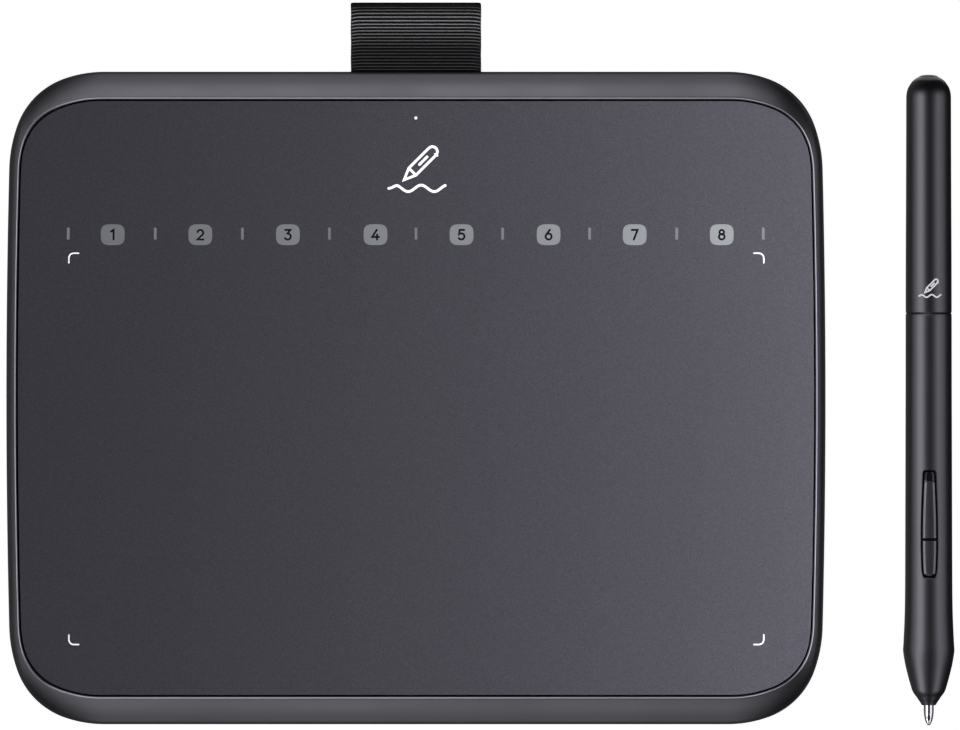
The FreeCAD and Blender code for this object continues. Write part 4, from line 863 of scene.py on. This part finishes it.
def pictogram(scale):
    """A plain stylus over a wavy line: strokes as (path, closed)."""
    def turned(points, angle=-45.0, dx=1.1, dy=1.3):
        a = math.radians(angle)
        return [((x * math.cos(a) - y * math.sin(a) + dx) * scale, (x * math.sin(a) + y * math.cos(a) + dy) * scale) for x, y in points]

    body = [(0.0, -5.6), (1.15, -2.9), (1.15, 3.6)] + arc(0.0, 3.6, 1.15, 0, 180, 12) + [(-1.15, -2.9)]
    collar = [(-1.15, -2.9), (1.15, -2.9)]
    button = [(0.0, -0.6), (0.0, 1.9)]
    wave = [(x, -4.6 + 0.75 * math.sin((x + 6.4) * 1.05) * min(1.0, (x + 6.4) / 2.0)) for x in np.linspace(-6.4, 6.6, 60)]
    return [(turned(body), True), (turned(collar), False), (turned(button), False),
            ([(x * scale, y * scale) for x, y in wave], False)]


mark = Build()
mx, my = mark_xy(416.0, 168.0)
for i, (path, closed) in enumerate(pictogram(1.0)):
    mark.ribbon([(mx + x, my + y) for x, y in path], 0.60, INK_Z0, INK_Z1 + 0.002 * i, closed=closed)
on_film.append(mark.make("print_pictogram", M["white_ink"], "tablet", sharp=20))

# --------------------------------------------------------------------------
# Feet
# --------------------------------------------------------------------------
def stadium_loop(cx, cy, half_long, r, n=20):
    pts = []
    for k in range(n + 1):
        t = -math.pi / 2 + math.pi * k / n
        pts.append((cx + half_long - r + r * math.cos(t), cy + r * math.sin(t)))
    for k in range(n + 1):
        t = math.pi / 2 + math.pi * k / n
        pts.append((cx - half_long + r + r * math.cos(t), cy + r * math.sin(t)))
    return np.array(pts)


feet = Build()
for sx in (-1, 1):
    for sy in (-1, 1):
        cx, cy = TX + 67.5 * sx, TY + 66.0 * sy
        stack = []
        for z, inset in ((0.05, 1.6), (0.0, 1.2), (0.0, 0.42), (0.06, 0.18), (0.2, 0.04), (0.35, 0.0), (1.3, 0.0)):
            stack.append(at_z(stadium_loop(cx, cy, 11.4 - inset, 4.2 - inset), z))
        feet.rows(stack, caps=True)
feet.make("foot_pads", M["foot_rubber"], "tablet", "rubber_feet", "foot_rubber", sharp=40)

# --------------------------------------------------------------------------
# Pen loop: one length of grosgrain webbing, clamped tail, loop and tail again
# --------------------------------------------------------------------------
PITCH, HALF_T = 0.77, 0.425


def strap_line():
    """Middle of the webbing in the Y-Z plane, mm, row frame."""
    alpha = math.asin((3.475 - 0.525) / 10.67)
    cy, cz, r = 87.17, 4.2, 3.475
    top = [(66.0, 4.675), (75.2, 4.675)]
    a = np.array([76.155, 4.7045])
    b = np.array([cy - r * math.sin(alpha), cz + r * math.cos(alpha)])
    n = np.array([-(b - a)[1], (b - a)[0]]) / np.linalg.norm(b - a)
    run = [tuple(a + (b - a) * t + n * 0.16 * math.sin(math.pi * t)) for t in np.linspace(0, 1, 40)]
    bend = [(cy + r * math.cos(t), cz + r * math.sin(t)) for t in np.linspace(math.pi / 2 + alpha, 0, 60)][1:]
    half = top + run + bend
    other = [(y, 2 * cz - z) for y, z in half[:-1]][::-1]
    line = np.array(half + other)

    def even(points, step):
        d = np.concatenate([[0], np.cumsum(np.linalg.norm(np.diff(points, axis=0), axis=1))])
        s = np.linspace(0, d[-1], int(round(d[-1] / step)) + 1)
        return np.column_stack([np.interp(s, d, points[:, 0]), np.interp(s, d, points[:, 1])]), s

    line, s = even(line, 0.0385)
    for _ in range(240):
        line[1:-1] = line[1:-1] * 0.5 + (line[:-2] + line[2:]) * 0.25
    line, s = even(line, 0.0385)
    return line + [TY, 0.0], s


line, along = strap_line()
tangent = np.gradient(line, axis=0)
tangent /= np.linalg.norm(tangent, axis=1)[:, None]
normal = np.column_stack([-tangent[:, 1], tangent[:, 0]])
cross = np.array([-15.0, -14.93, -14.75, -14.45, -14.1, -13.4, -12.0, -9.0, -6.0, -3.0, 0.0, 3.0, 6.0, 9.0, 12.0, 13.4, 14.1, 14.45, 14.75, 14.93, 15.0])
edge_t = np.array([0.10, 0.24, 0.36, 0.41, 0.425, 0.425])
full = np.concatenate([edge_t[:6], np.full(9, 0.425), edge_t[::-1][:6]])
fade = np.clip((15.0 - np.abs(cross)) / 1.0, 0.25, 1.0)
strap_v, strap_uv = [], []
for i, s in enumerate(along):
    lean = 0.30 * np.clip((np.abs(cross) - 12.9) / 2.1, 0.0, 1.0) ** 1.5
    phase = 2 * (((s + lean) / PITCH) % 1.0) - 1
    rib = np.sqrt(np.clip(1 - phase * phase, 0.0, 1.0))
    side_rib = 0.07 * (1 - abs(math.sin(2 * math.pi * s / PITCH)))
    lift = full - 0.33 * (1 - rib) * fade
    for sign in (1, -1):
        order = range(len(cross)) if sign > 0 else range(len(cross) - 1, -1, -1)
        for j in order:
            x = cross[j]
            x -= math.copysign(side_rib, x) * (abs(x) > 14.4)
            x += 0.03 * math.sin(s * 0.9)
            o = normal[i] * lift[j] * sign
            strap_v.append((TX + x, line[i, 0] + o[0], line[i, 1] + o[1]))
            strap_uv.append((x, s + lean[j]))
count, ring_n = len(along), 2 * len(cross)
faces = grid_faces(count, ring_n)
faces.append(tuple(range(ring_n))[::-1])
faces.append(tuple((count - 1) * ring_n + i for i in range(ring_n)))
mesh = bpy.data.meshes.new("loop_webbing")
mesh.from_pydata([(x * MM, y * MM, z * MM) for x, y, z in strap_v], [], faces)
uv = mesh.uv_layers.new(name="strap")
loop_v = np.zeros(len(mesh.loops), np.int32)
mesh.loops.foreach_get("vertex_index", loop_v)
uv.data.foreach_set("uv", np.array(strap_uv, np.float32)[loop_v].ravel())
bm = bmesh.new()
bm.from_mesh(mesh)
bmesh.ops.recalc_face_normals(bm, faces=bm.faces)
mark_edges(bm, 50.0)
bm.to_mesh(mesh)
bm.free()
strap = bpy.data.objects.new("loop_webbing", mesh)
bpy.context.scene.collection.objects.link(strap)
mesh.materials.append(M["webbing"])
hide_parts("pen_loop_strap", "loop_tail")
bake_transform(strap)

# --------------------------------------------------------------------------
# Pen: rear barrel, nose cone, nib
# --------------------------------------------------------------------------
def outline_r(z):
    return pchip(PEN_OUTLINE, z)


rear_z = np.concatenate([[94.76, 95.01], np.linspace(96, 144, 60), np.linspace(144.3, 149.4, 52), [149.52, 149.62, 149.68, 149.71, 149.72]])
profile = [(88.2, 3.42), (88.2, 4.22), (88.3, 4.32), (94.76, 4.32)]
for z in rear_z:
    r = float(outline_r([z])[0])
    if z == 94.76:
        r = 5.1015
    elif z == 95.01:
        r = 5.2815
    if z > 149.3:
        r = 2.13 * math.sqrt(max(0.0, 1 - ((z - 149.3) / 0.42) ** 2)) if z < 149.719 else 0.0
    profile.append((float(z), r))
profile += [(148.3, 0.0)]
back = Build()
inner = [(147.6, 2.2), (146.0, 3.5), (144.0, 4.0), (98.0, 4.1), (96.0, 3.42)]
back.lathe(profile + inner, 128, closed=True, place=on_pen)
rear_obj = back.make("barrel_rear", M["pen_plastic"], "pen", "pen_upper_barrel", "pen_plastic", sharp=34, weld=True)

nose = Build()
nose_z = np.linspace(4.70, 8.05, 22)
nose_p = [(float(z), float(r)) for z, r in zip(nose_z, outline_r(nose_z))]
nose_p[-1] = (8.05, 3.788)
nose_p = [(4.70, 1.25), (4.66, 1.32), (4.66, 1.50)] + nose_p + [(8.05, 3.28), (10.0, 3.28), (10.0, 1.25)]
nose.lathe(nose_p, 128, closed=True, place=on_pen)
nose_obj = nose.make("nose_cone", M["nose_plastic"], "pen", "pen_nose_cone", "nose_plastic", sharp=34)

tip = Build()
nib_z = np.concatenate([np.linspace(0, 0.5, 12), np.linspace(0.6, 4.6, 40)])
nib_r = pchip(NIB_OUTLINE, nib_z)
nib_p = [(float(z), float(r)) for z, r in zip(nib_z, nib_r)]
nib_p[0] = (0.0, 0.0)
nib_p += [(7.55, 1.157), (7.62, 1.12), (7.9, 0.7), (26.3, 0.7), (26.6, 0.45), (26.6, 0.0)]
tip.lathe(nib_p, 64, place=on_pen)
nib_obj = tip.make("nib_tip", M["nib_plastic"], "nib", "pen_nib", "nib_plastic", sharp=34)

# --------------------------------------------------------------------------
# Pen: front barrel with the slot for the side switch
# --------------------------------------------------------------------------
def switch_half(z):
    return np.interp(z, [p[0] for p in SWITCH_OUTLINE], [p[1] for p in SWITCH_OUTLINE])


ROOM = 0.42
S0, S1 = SWITCH_BACK - ROOM, SWITCH_END + ROOM
zs = set(np.round(np.concatenate([np.linspace(8.05, 30, 56), np.linspace(30, S0, 8), np.linspace(S0, S1, 86), np.linspace(S1, 94.51, 44)]), 4))
zs |= {round(p[0], 4) for p in SWITCH_OUTLINE[1:-1]}
zs |= {round(S0 + 0.12, 4), round(S1 - 0.12, 4)}
zs = np.array(sorted(zs))
keep = [0]
for i in range(1, len(zs)):
    if zs[i] - zs[keep[-1]] > 0.05:
        keep.append(i)
zs = zs[keep]
zs[np.argmin(abs(zs - S0))] = S0
zs[np.argmin(abs(zs - S1))] = S1
IN_N, OUT_N = 14, 98
COLS = IN_N + OUT_N


def slot_half(z):
    """Half width of the slot, with its corners slightly rounded; eased away outside the slot."""
    if z < S0:
        far = min(1.0, (S0 - z) / 12.0)
        return 1.28 + (2.2 - 1.28) * far
    if z > S1:
        far = min(1.0, (z - S1) / 12.0)
        return 1.16 + (2.2 - 1.16) * far
    return float(np.interp(z, [S0, SWITCH_BACK, 34.9, 36.2, 40.5, 44.5, 48.5, 50.8, 53.0, 55.0, 57.0, 57.9, SWITCH_END, SWITCH_END + 0.2, S1],
                           [1.28, 1.40, 1.62, 1.79, 1.94, 1.945, 1.87, 1.79, 1.70, 1.62, 1.54, 1.50, 1.46, 1.40, 1.16]))


def ring_at(z, r):
    half = min(slot_half(z), r * 0.8)
    ts = math.asin(half / r)
    inside = [(-ts + 2 * ts * k / IN_N) for k in range(IN_N)]
    outside = [ts + (2 * math.pi - 2 * ts) * k / OUT_N for k in range(OUT_N)]
    return np.array([(r * math.sin(t), -r * math.cos(t), z) for t in inside + outside])


def inner_r(z):
    return float(np.interp(z, [8.05, 10.1, 10.2, 20.8, 22.0, 94.76], [3.3, 3.3, 3.6, 3.6, 4.4, 4.4]))


outer_rows = [ring_at(z, float(outline_r([z])[0])) for z in zs]
outer_rows.append(ring_at(94.60, 5.27))
outer_rows.append(ring_at(94.76, 5.1015))
inner_rows = [ring_at(z, inner_r(z)) for z in zs] + [ring_at(94.60, 4.4), ring_at(94.76, 4.4)]
n_rows = len(outer_rows)
i0 = int(np.argmin(abs(zs - S0)))
i1 = int(np.argmin(abs(zs - S1)))
verts = np.vstack(outer_rows + inner_rows)
ofs = n_rows * COLS
faces = []
for i in range(n_rows - 1):
    for j in range(COLS):
        k = (j + 1) % COLS
        if i0 <= i < i1 and j < IN_N:
            continue
        a, b = i * COLS, (i + 1) * COLS
        faces.append((a + j, a + k, b + k, b + j))
        faces.append((ofs + b + j, ofs + b + k, ofs + a + k, ofs + a + j))
for j in range(COLS):
    k = (j + 1) % COLS
    faces.append((j, k, ofs + k, ofs + j))
    a = (n_rows - 1) * COLS
    faces.append((a + k, a + j, ofs + a + j, ofs + a + k))
for i in range(i0, i1):
    for j in (0, IN_N):
        a, b = i * COLS + j, (i + 1) * COLS + j
        faces.append((a, b, ofs + b, ofs + a))
for i in (i0, i1):
    for j in range(IN_N):
        a, b = i * COLS + j, i * COLS + j + 1
        faces.append((a, b, ofs + b, ofs + a))
grip = Build()
grip.add(on_pen(verts), faces)
grip_obj = grip.make("barrel_front", M["pen_plastic"], "pen", "pen_lower_barrel", "pen_plastic", sharp=34)
rim_ids = set([i * COLS for i in range(i0, i1 + 1)] + [i * COLS + IN_N for i in range(i0, i1 + 1)] +
              [i * COLS + j for i in (i0, i1) for j in range(IN_N + 1)])
bm = bmesh.new()
bm.from_mesh(grip_obj.data)
bm.verts.ensure_lookup_table()
rim_edges = []
for e in bm.edges:
    a, b = e.verts[0].index, e.verts[1].index
    if a in rim_ids and b in rim_ids and len(e.link_faces) == 2:
        same_col = a % COLS == b % COLS and a % COLS in (0, IN_N)
        same_row = a // COLS == b // COLS and a // COLS in (i0, i1) and max(a, b) % COLS <= IN_N
        if same_col or same_row:
            rim_edges.append(e)
bmesh.ops.bevel(bm, geom=rim_edges, offset=0.13 * MM, offset_type="OFFSET", segments=3, profile=0.5, affect="EDGES", clamp_overlap=True)
mark_edges(bm, 34.0)
bm.to_mesh(grip_obj.data)
bm.free()

# --------------------------------------------------------------------------
# Side rocker: crowned cap with bevelled edges, groove over its pin, ramp at the rear
# --------------------------------------------------------------------------
def cap_half(z):
    return float(np.interp(z, [34.46, 34.52, 34.62, 34.76, 34.95, 35.4, 36.2, 38.2, 40.5, 42.5, 44.5, 46.5, 48.5, 50.8, 53.0, 55.0, 57.0, 57.6, 57.9, 58.1, 58.2, 58.25],
                           [0.84, 0.96, 1.08, 1.17, 1.24, 1.30, 1.38, 1.46, 1.515, 1.525, 1.52, 1.49, 1.45, 1.37, 1.28, 1.20, 1.12, 1.10, 1.06, 0.98, 0.90, 0.80]))


CAP_BEVEL = 0.46


def cap_height(x, z, half):
    h = SWITCH_CROWN - 0.09 * x * x
    e = abs(x) - (half - CAP_BEVEL)
    if e > 0:
        h -= 0.36 * e + 0.08 * e * e
    h -= 0.42 * float(np.clip((0.34 - abs(z - 42.8)) / 0.05, 0.0, 1.0))
    h -= float(np.clip(0.9 * (z - SWITCH_END + 2.3), 0.0, 0.45)) * (1.0 if e < 0 else max(0.0, 1.0 - e / CAP_BEVEL * 0.6))
    if z < SWITCH_BACK + 0.46:
        h -= 0.8 * (SWITCH_BACK + 0.46 - z)
    return max(h, 5.30) if abs(z - 42.8) < 0.36 else h


cap_z = sorted(set(np.round(np.concatenate([
    [34.46, 34.49, 34.54, 34.62, 34.72, 34.84, 34.92, 35.1], np.linspace(35.5, 42.2, 17), [42.43, 42.46, 42.485, 42.51, 42.6, 42.8, 43.0, 43.09, 43.115, 43.14, 43.17],
    np.linspace(43.4, 55.6, 29), [55.9, 55.95, 56.0, 56.15, 56.3, 56.42, 56.47, 56.55, 56.9, 57.3, 57.6, 57.8, 58.0, 58.1, 58.17, 58.22, 58.25]]), 3)))
frac = np.array([-1.0, -0.985, -0.93, -0.86, -0.78, -0.742, -0.728, -0.66, -0.5, -0.3, -0.1, 0.1, 0.3, 0.5, 0.66, 0.728, 0.742, 0.78, 0.86, 0.93, 0.985, 1.0])
cap = Build()
cap_rows = []
for z in cap_z:
    half = cap_half(z)
    inner_half = max(0.2, half - CAP_BEVEL)
    xs = []
    for f in frac:
        if abs(f) <= 0.735:
            xs.append(f / 0.735 * inner_half)
        else:
            xs.append(math.copysign(inner_half + (abs(f) - 0.735) / 0.265 * (half - inner_half), f))
    top = [(x, -cap_height(x, z, half) - (0.0 if abs(x) < half - 1e-6 else -0.06), z) for x in xs]
    under = [(x, -4.82 if abs(z - 42.8) < 0.75 else -4.62, z) for x in xs[::-1]]
    cap_rows.append(np.array(top + under))
cap_n = len(cap_rows[0])
cap_verts = np.vstack(cap_rows)
cap_faces = grid_faces(len(cap_rows), cap_n)
half_n = len(frac)
for base in (0, (len(cap_rows) - 1) * cap_n):
    for j in range(half_n - 1):
        cap_faces.append((base + j, base + j + 1, base + cap_n - 2 - j, base + cap_n - 1 - j))
cap.add(on_pen(cap_verts), cap_faces)
for z in (50.0, 38.5):
    cap.lathe([(3.2, 0.0), (3.2, 0.75), (3.35, 0.9), (4.7, 0.9), (4.7, 0.0)], 40,
              place=lambda v, z=z: on_pen(np.column_stack([v[:, 0], -v[:, 2], z + v[:, 1]])))
cap.lathe([(-1.45, 0.46), (-1.45, 0.98), (1.45, 0.98), (1.45, 0.46)], 40, closed=True,
          place=lambda v: on_pen(np.column_stack([v[:, 2], -4.3 + v[:, 1], 42.8 + v[:, 0]])))
rocker_cap = cap.make("rocker_cap", M["switch_plastic"], "rocker", "side_rocker", "switch_plastic", sharp=24)
rocker_cap.data.materials.append(M["painted_gap_shade"])
rocker_cap.data.materials.append(M["switch_bevel_highlight"])
for p in rocker_cap.data.polygons:
    if max(p.vertices) < cap_n * len(cap_rows):
        zs_of = [cap_z[i // cap_n] for i in p.vertices]
        cols_of = [i % cap_n for i in p.vertices]
        # painted shade: near-black matte in the groove over the pin
        if min(zs_of) > 42.44 and max(zs_of) < 43.16 and max(cols_of) < half_n:
            p.material_index = 1
        # painted shade: near-black matte on the lowered ledge at the rear
        elif min(zs_of) > 56.1 and min(cols_of) >= 6 and max(cols_of) <= 15:
            p.material_index = 1
        # painted highlight: the bevelled sides get the brighter-reflecting copy of the switch plastic
        elif 34.9 < min(zs_of) and max(zs_of) < 57.95 and (max(cols_of) <= 6 or (min(cols_of) >= 15 and max(cols_of) < half_n)):
            p.material_index = 2

# small pictogram near the seam, wrapped round the barrel
def on_barrel(flat, lift):
    z = flat[:, 1]
    r = outline_r(z) + lift
    t = flat[:, 0] / 5.28
    return on_pen(np.column_stack([r * np.sin(t), -r * np.cos(t), z]))


badge = Build()
for i, (path, closed) in enumerate(pictogram(0.40)):
    dense = []
    pts = list(path) + ([path[0]] if closed else [])
    for (x0, y0), (x1, y1) in zip(pts, pts[1:]):
        steps = max(1, int(math.hypot(x1 - x0, y1 - y0) / 0.25))
        dense += [(x0 + (x1 - x0) * k / steps, y0 + (y1 - y0) * k / steps) for k in range(steps)]
    if not closed:
        dense.append(pts[-1])
    badge.ribbon([(x + 0.1, y + 100.6) for x, y in dense], 0.33, -0.004, 0.012 + 0.002 * i, closed=closed, place=on_barrel)
badge.make("pen_pictogram", M["white_ink"], "pen", sharp=20)

# --------------------------------------------------------------------------
# Stage: pale floor that rises into a wide cove far from the object
# --------------------------------------------------------------------------
stage_mat = Mat("stage_pale")
paper = stage_mat.noise(180.0, 3.0)
stage_mat.put("Base Color", stage_mat.ramp(paper, [(0.3, (0.86, 0.86, 0.86)), (0.7, (0.90, 0.90, 0.90))]))
stage_mat.put("Roughness", 0.9)
stage_mat.put("Emission Color", (1.0, 1.0, 1.0))
stage_mat.put("Emission Strength", 0.97)
floor = Build()
profile = [(0.0, 0.0), (0.0, 500.0), (0.0, 2000.0), (0.0, 6200.0)]
for k in range(1, 13):
    t = math.pi / 2 * k / 12
    profile.append((1800.0 * (1 - math.cos(t)), 6200.0 + 1800.0 * math.sin(t)))
profile.append((7500.0, 8000.0))
turns = 96
angles = np.arange(turns) * 2 * math.pi / turns
verts, faces = [(0.0, 0.0, 0.0)], []
for z, r in profile[1:]:
    verts.extend([(r * math.cos(t), r * math.sin(t), z) for t in angles])
for j in range(turns):
    faces.append((0, 1 + j, 1 + (j + 1) % turns))
for i in range(len(profile) - 2):
    a, b = 1 + i * turns, 1 + (i + 1) * turns
    for j in range(turns):
        k = (j + 1) % turns
        faces.append((a + j, b + j, b + k, a + k))
mesh = bpy.data.meshes.new("stage_floor")
mesh.from_pydata([(x * MM, y * MM, z * MM) for x, y, z in verts], [], faces)
mesh.materials.append(stage_mat.m)
for p in mesh.polygons:
    p.use_smooth = True
stage = bpy.data.objects.new("stage_floor", mesh)
bpy.context.scene.collection.objects.link(stage)
stage.visible_glossy = False
stage.visible_diffuse = False
bounce_mat = Mat("stage_bounce")
bounce_mat.put("Base Color", bounce_mat.ramp(bounce_mat.noise(180.0, 3.0), [(0.3, (0.20, 0.20, 0.20)), (0.7, (0.22, 0.22, 0.22))]))
bounce_mat.put("Roughness", 0.9)
bounce_mat.put("Emission Color", (1.0, 1.0, 1.0))
bounce_mat.put("Emission Strength", 0.17)
mesh = bpy.data.meshes.new("stage_bounce")
mesh.from_pydata([(-3.0, -3.0, -0.001), (0.096, -3.0, -0.001), (0.096, 3.0, -0.001), (-3.0, 3.0, -0.001)], [], [(0, 1, 2, 3)])
mesh.materials.append(bounce_mat.m)
bounce = bpy.data.objects.new("stage_bounce", mesh)
bpy.context.scene.collection.objects.link(bounce)
bounce.visible_camera = False
bounce.visible_diffuse = False
bounce.visible_shadow = False
# the floor behind the pen's tail, brighter, for the rim of light round its dome
tail_mat = Mat("stage_tail_bounce")
tail_mat.put("Base Color", tail_mat.ramp(tail_mat.noise(180.0, 3.0), [(0.3, (0.20, 0.20, 0.20)), (0.7, (0.22, 0.22, 0.22))]))
tail_mat.put("Roughness", 0.9)
tail_mat.put("Emission Color", (1.0, 1.0, 1.0))
tail_mat.put("Emission Strength", 1.0)
mesh = bpy.data.meshes.new("stage_tail_bounce")
mesh.from_pydata([(0.0935, 0.068, -0.001), (0.112, 0.068, -0.001), (0.112, 0.30, -0.001), (0.0935, 0.30, -0.001)], [], [(0, 1, 2, 3)])
mesh.materials.append(tail_mat.m)
tail_bounce = bpy.data.objects.new("stage_tail_bounce", mesh)
bpy.context.scene.collection.objects.link(tail_bounce)
tail_bounce.visible_camera = False
tail_bounce.visible_diffuse = False
tail_bounce.visible_shadow = False

# --------------------------------------------------------------------------
# Lights and camera
# --------------------------------------------------------------------------
def softbox(name, target, azimuth, zenith, distance, wide, tall, radiance, diffuse=True, glossy=True, colour=(1, 1, 1)):
    """Rectangular light at a bearing (0 = +X, 90 = +Y) and angle from straight up, aimed at the target, metres."""
    a, z = math.radians(azimuth), math.radians(zenith)
    d = Vector((math.cos(a) * math.sin(z), math.sin(a) * math.sin(z), math.cos(z)))
    data = bpy.data.lights.new(name, "AREA")
    data.shape = "RECTANGLE"
    data.size, data.size_y = wide, tall
    data.energy = radiance * math.pi * wide * tall
    data.color = colour
    obj = bpy.data.objects.new(name, data)
    bpy.context.scene.collection.objects.link(obj)
    obj.location = Vector(target) + d * distance
    obj.rotation_mode = "QUATERNION"
    obj.rotation_quaternion = (-d).to_track_quat("-Z", "Y")
    obj.visible_camera = False
    obj.visible_diffuse = diffuse
    obj.visible_glossy = glossy
    return obj


BANDS = ((24, 38), (38, 58), (58, 86))
nose_group = bpy.data.collections.new("nose_group")
skip = {"front": bpy.data.collections.new("front_skips"), "rear": bpy.data.collections.new("rear_skips")}
for piece in (nose_obj, nib_obj, grip_obj):
    nose_group.objects.link(piece)
    skip["front"].objects.link(piece)
skip["rear"].objects.link(rear_obj)
for group in skip.values():
    for item in group.collection_objects:
        item.light_linking.link_state = "EXCLUDE"
for name, azimuth, target, distance, wide, levels in (
        ("left", 180, (0.10, -0.01, 0.0), 0.50, 0.44, (4.34, 4.84, 1.37)),
        ("right", 0, (0.10, -0.01, 0.0), 0.50, 0.44, (1.21, 2.85, 1.42)),
        ("rear", 90, (-0.01, 0.065, 0.0), 0.62, 0.34, (5.94, 1.32, 1.77)),
        ("front", 270, (-0.01, -0.08, 0.0), 0.62, 0.34, (3.55, 1.37, 1.55))):
    for (z0, z1), level in zip(BANDS, levels):
        box = softbox("box_%s_%d" % (name, z0), target, azimuth, (z0 + z1) / 2, distance, wide,
                      2 * distance * math.tan(math.radians((z1 - z0) / 2)), level, diffuse=False, colour=(1.0, 0.99, 1.12))
        if name in skip:
            box.light_linking.receiver_collection = skip[name]
# the side lights carried on round the pen's nose, for the nose, nib and front barrel alone
for name, azimuth, level in (("nose_left", 224, 4.6), ("nose_right", 316, 2.6)):
    box = softbox("box_" + name, (0.103, -0.07, 0.0), azimuth, 61, 0.5, 0.36, 0.25, level, diffuse=False, colour=(1.0, 0.99, 1.12))
    box.light_linking.receiver_collection = nose_group
# low strip along the right, flagged so that it only grades the drawing film
strip_group = bpy.data.collections.new("film_group")
for piece in on_film:
    strip_group.objects.link(piece)
for name, lean, level in (("strip_right", 45.0, 3.62), ("strip_right_low", 60.0, 8.6)):
    strip = softbox(name, (0.22, 0.0, 0.12), 0, 0, 0.0, 1.6, 0.06, level, glossy=False)
    a = math.radians(lean)
    strip.rotation_quaternion = Vector((-math.sin(a), 0.0, -math.cos(a))).to_track_quat("-Z", "Y")
    strip.light_linking.receiver_collection = strip_group

strap_group = bpy.data.collections.new("strap_group")
strap_group.objects.link(strap)
loop_key = softbox("loop_key", (TX * MM, 0.078, 0.0), 270, 24, 0.5, 0.3, 0.12, 62.0, glossy=False)
loop_key.light_linking.receiver_collection = strap_group

world = bpy.data.worlds.new("studio")
bpy.context.scene.world = world
world.use_nodes = True
world.node_tree.nodes["Background"].inputs[0].default_value = (0.90, 0.92, 1.0, 1.0)
world.node_tree.nodes["Background"].inputs[1].default_value = 0.035

camera = bpy.data.cameras.new("camera")
camera.type = "PERSP"
camera.sensor_width = 36.0
camera.lens = 36.0 * 3.0 / 0.2208 * 1.0008
camera.clip_start, camera.clip_end = 0.1, 20.0
camera_obj = bpy.data.objects.new("camera", camera)
bpy.context.scene.collection.objects.link(camera_obj)
camera_obj.location = (-0.00009, -0.000193, 3.009)
camera_obj.rotation_euler = (0.0, 0.0, 0.0)
bpy.context.scene.camera = camera_obj

view = bpy.context.scene.view_settings
view.view_transform = "Standard"
view.look = "None"
view.exposure = 0.0
view.gamma = 1.0

bpy.context.view_layer.update()
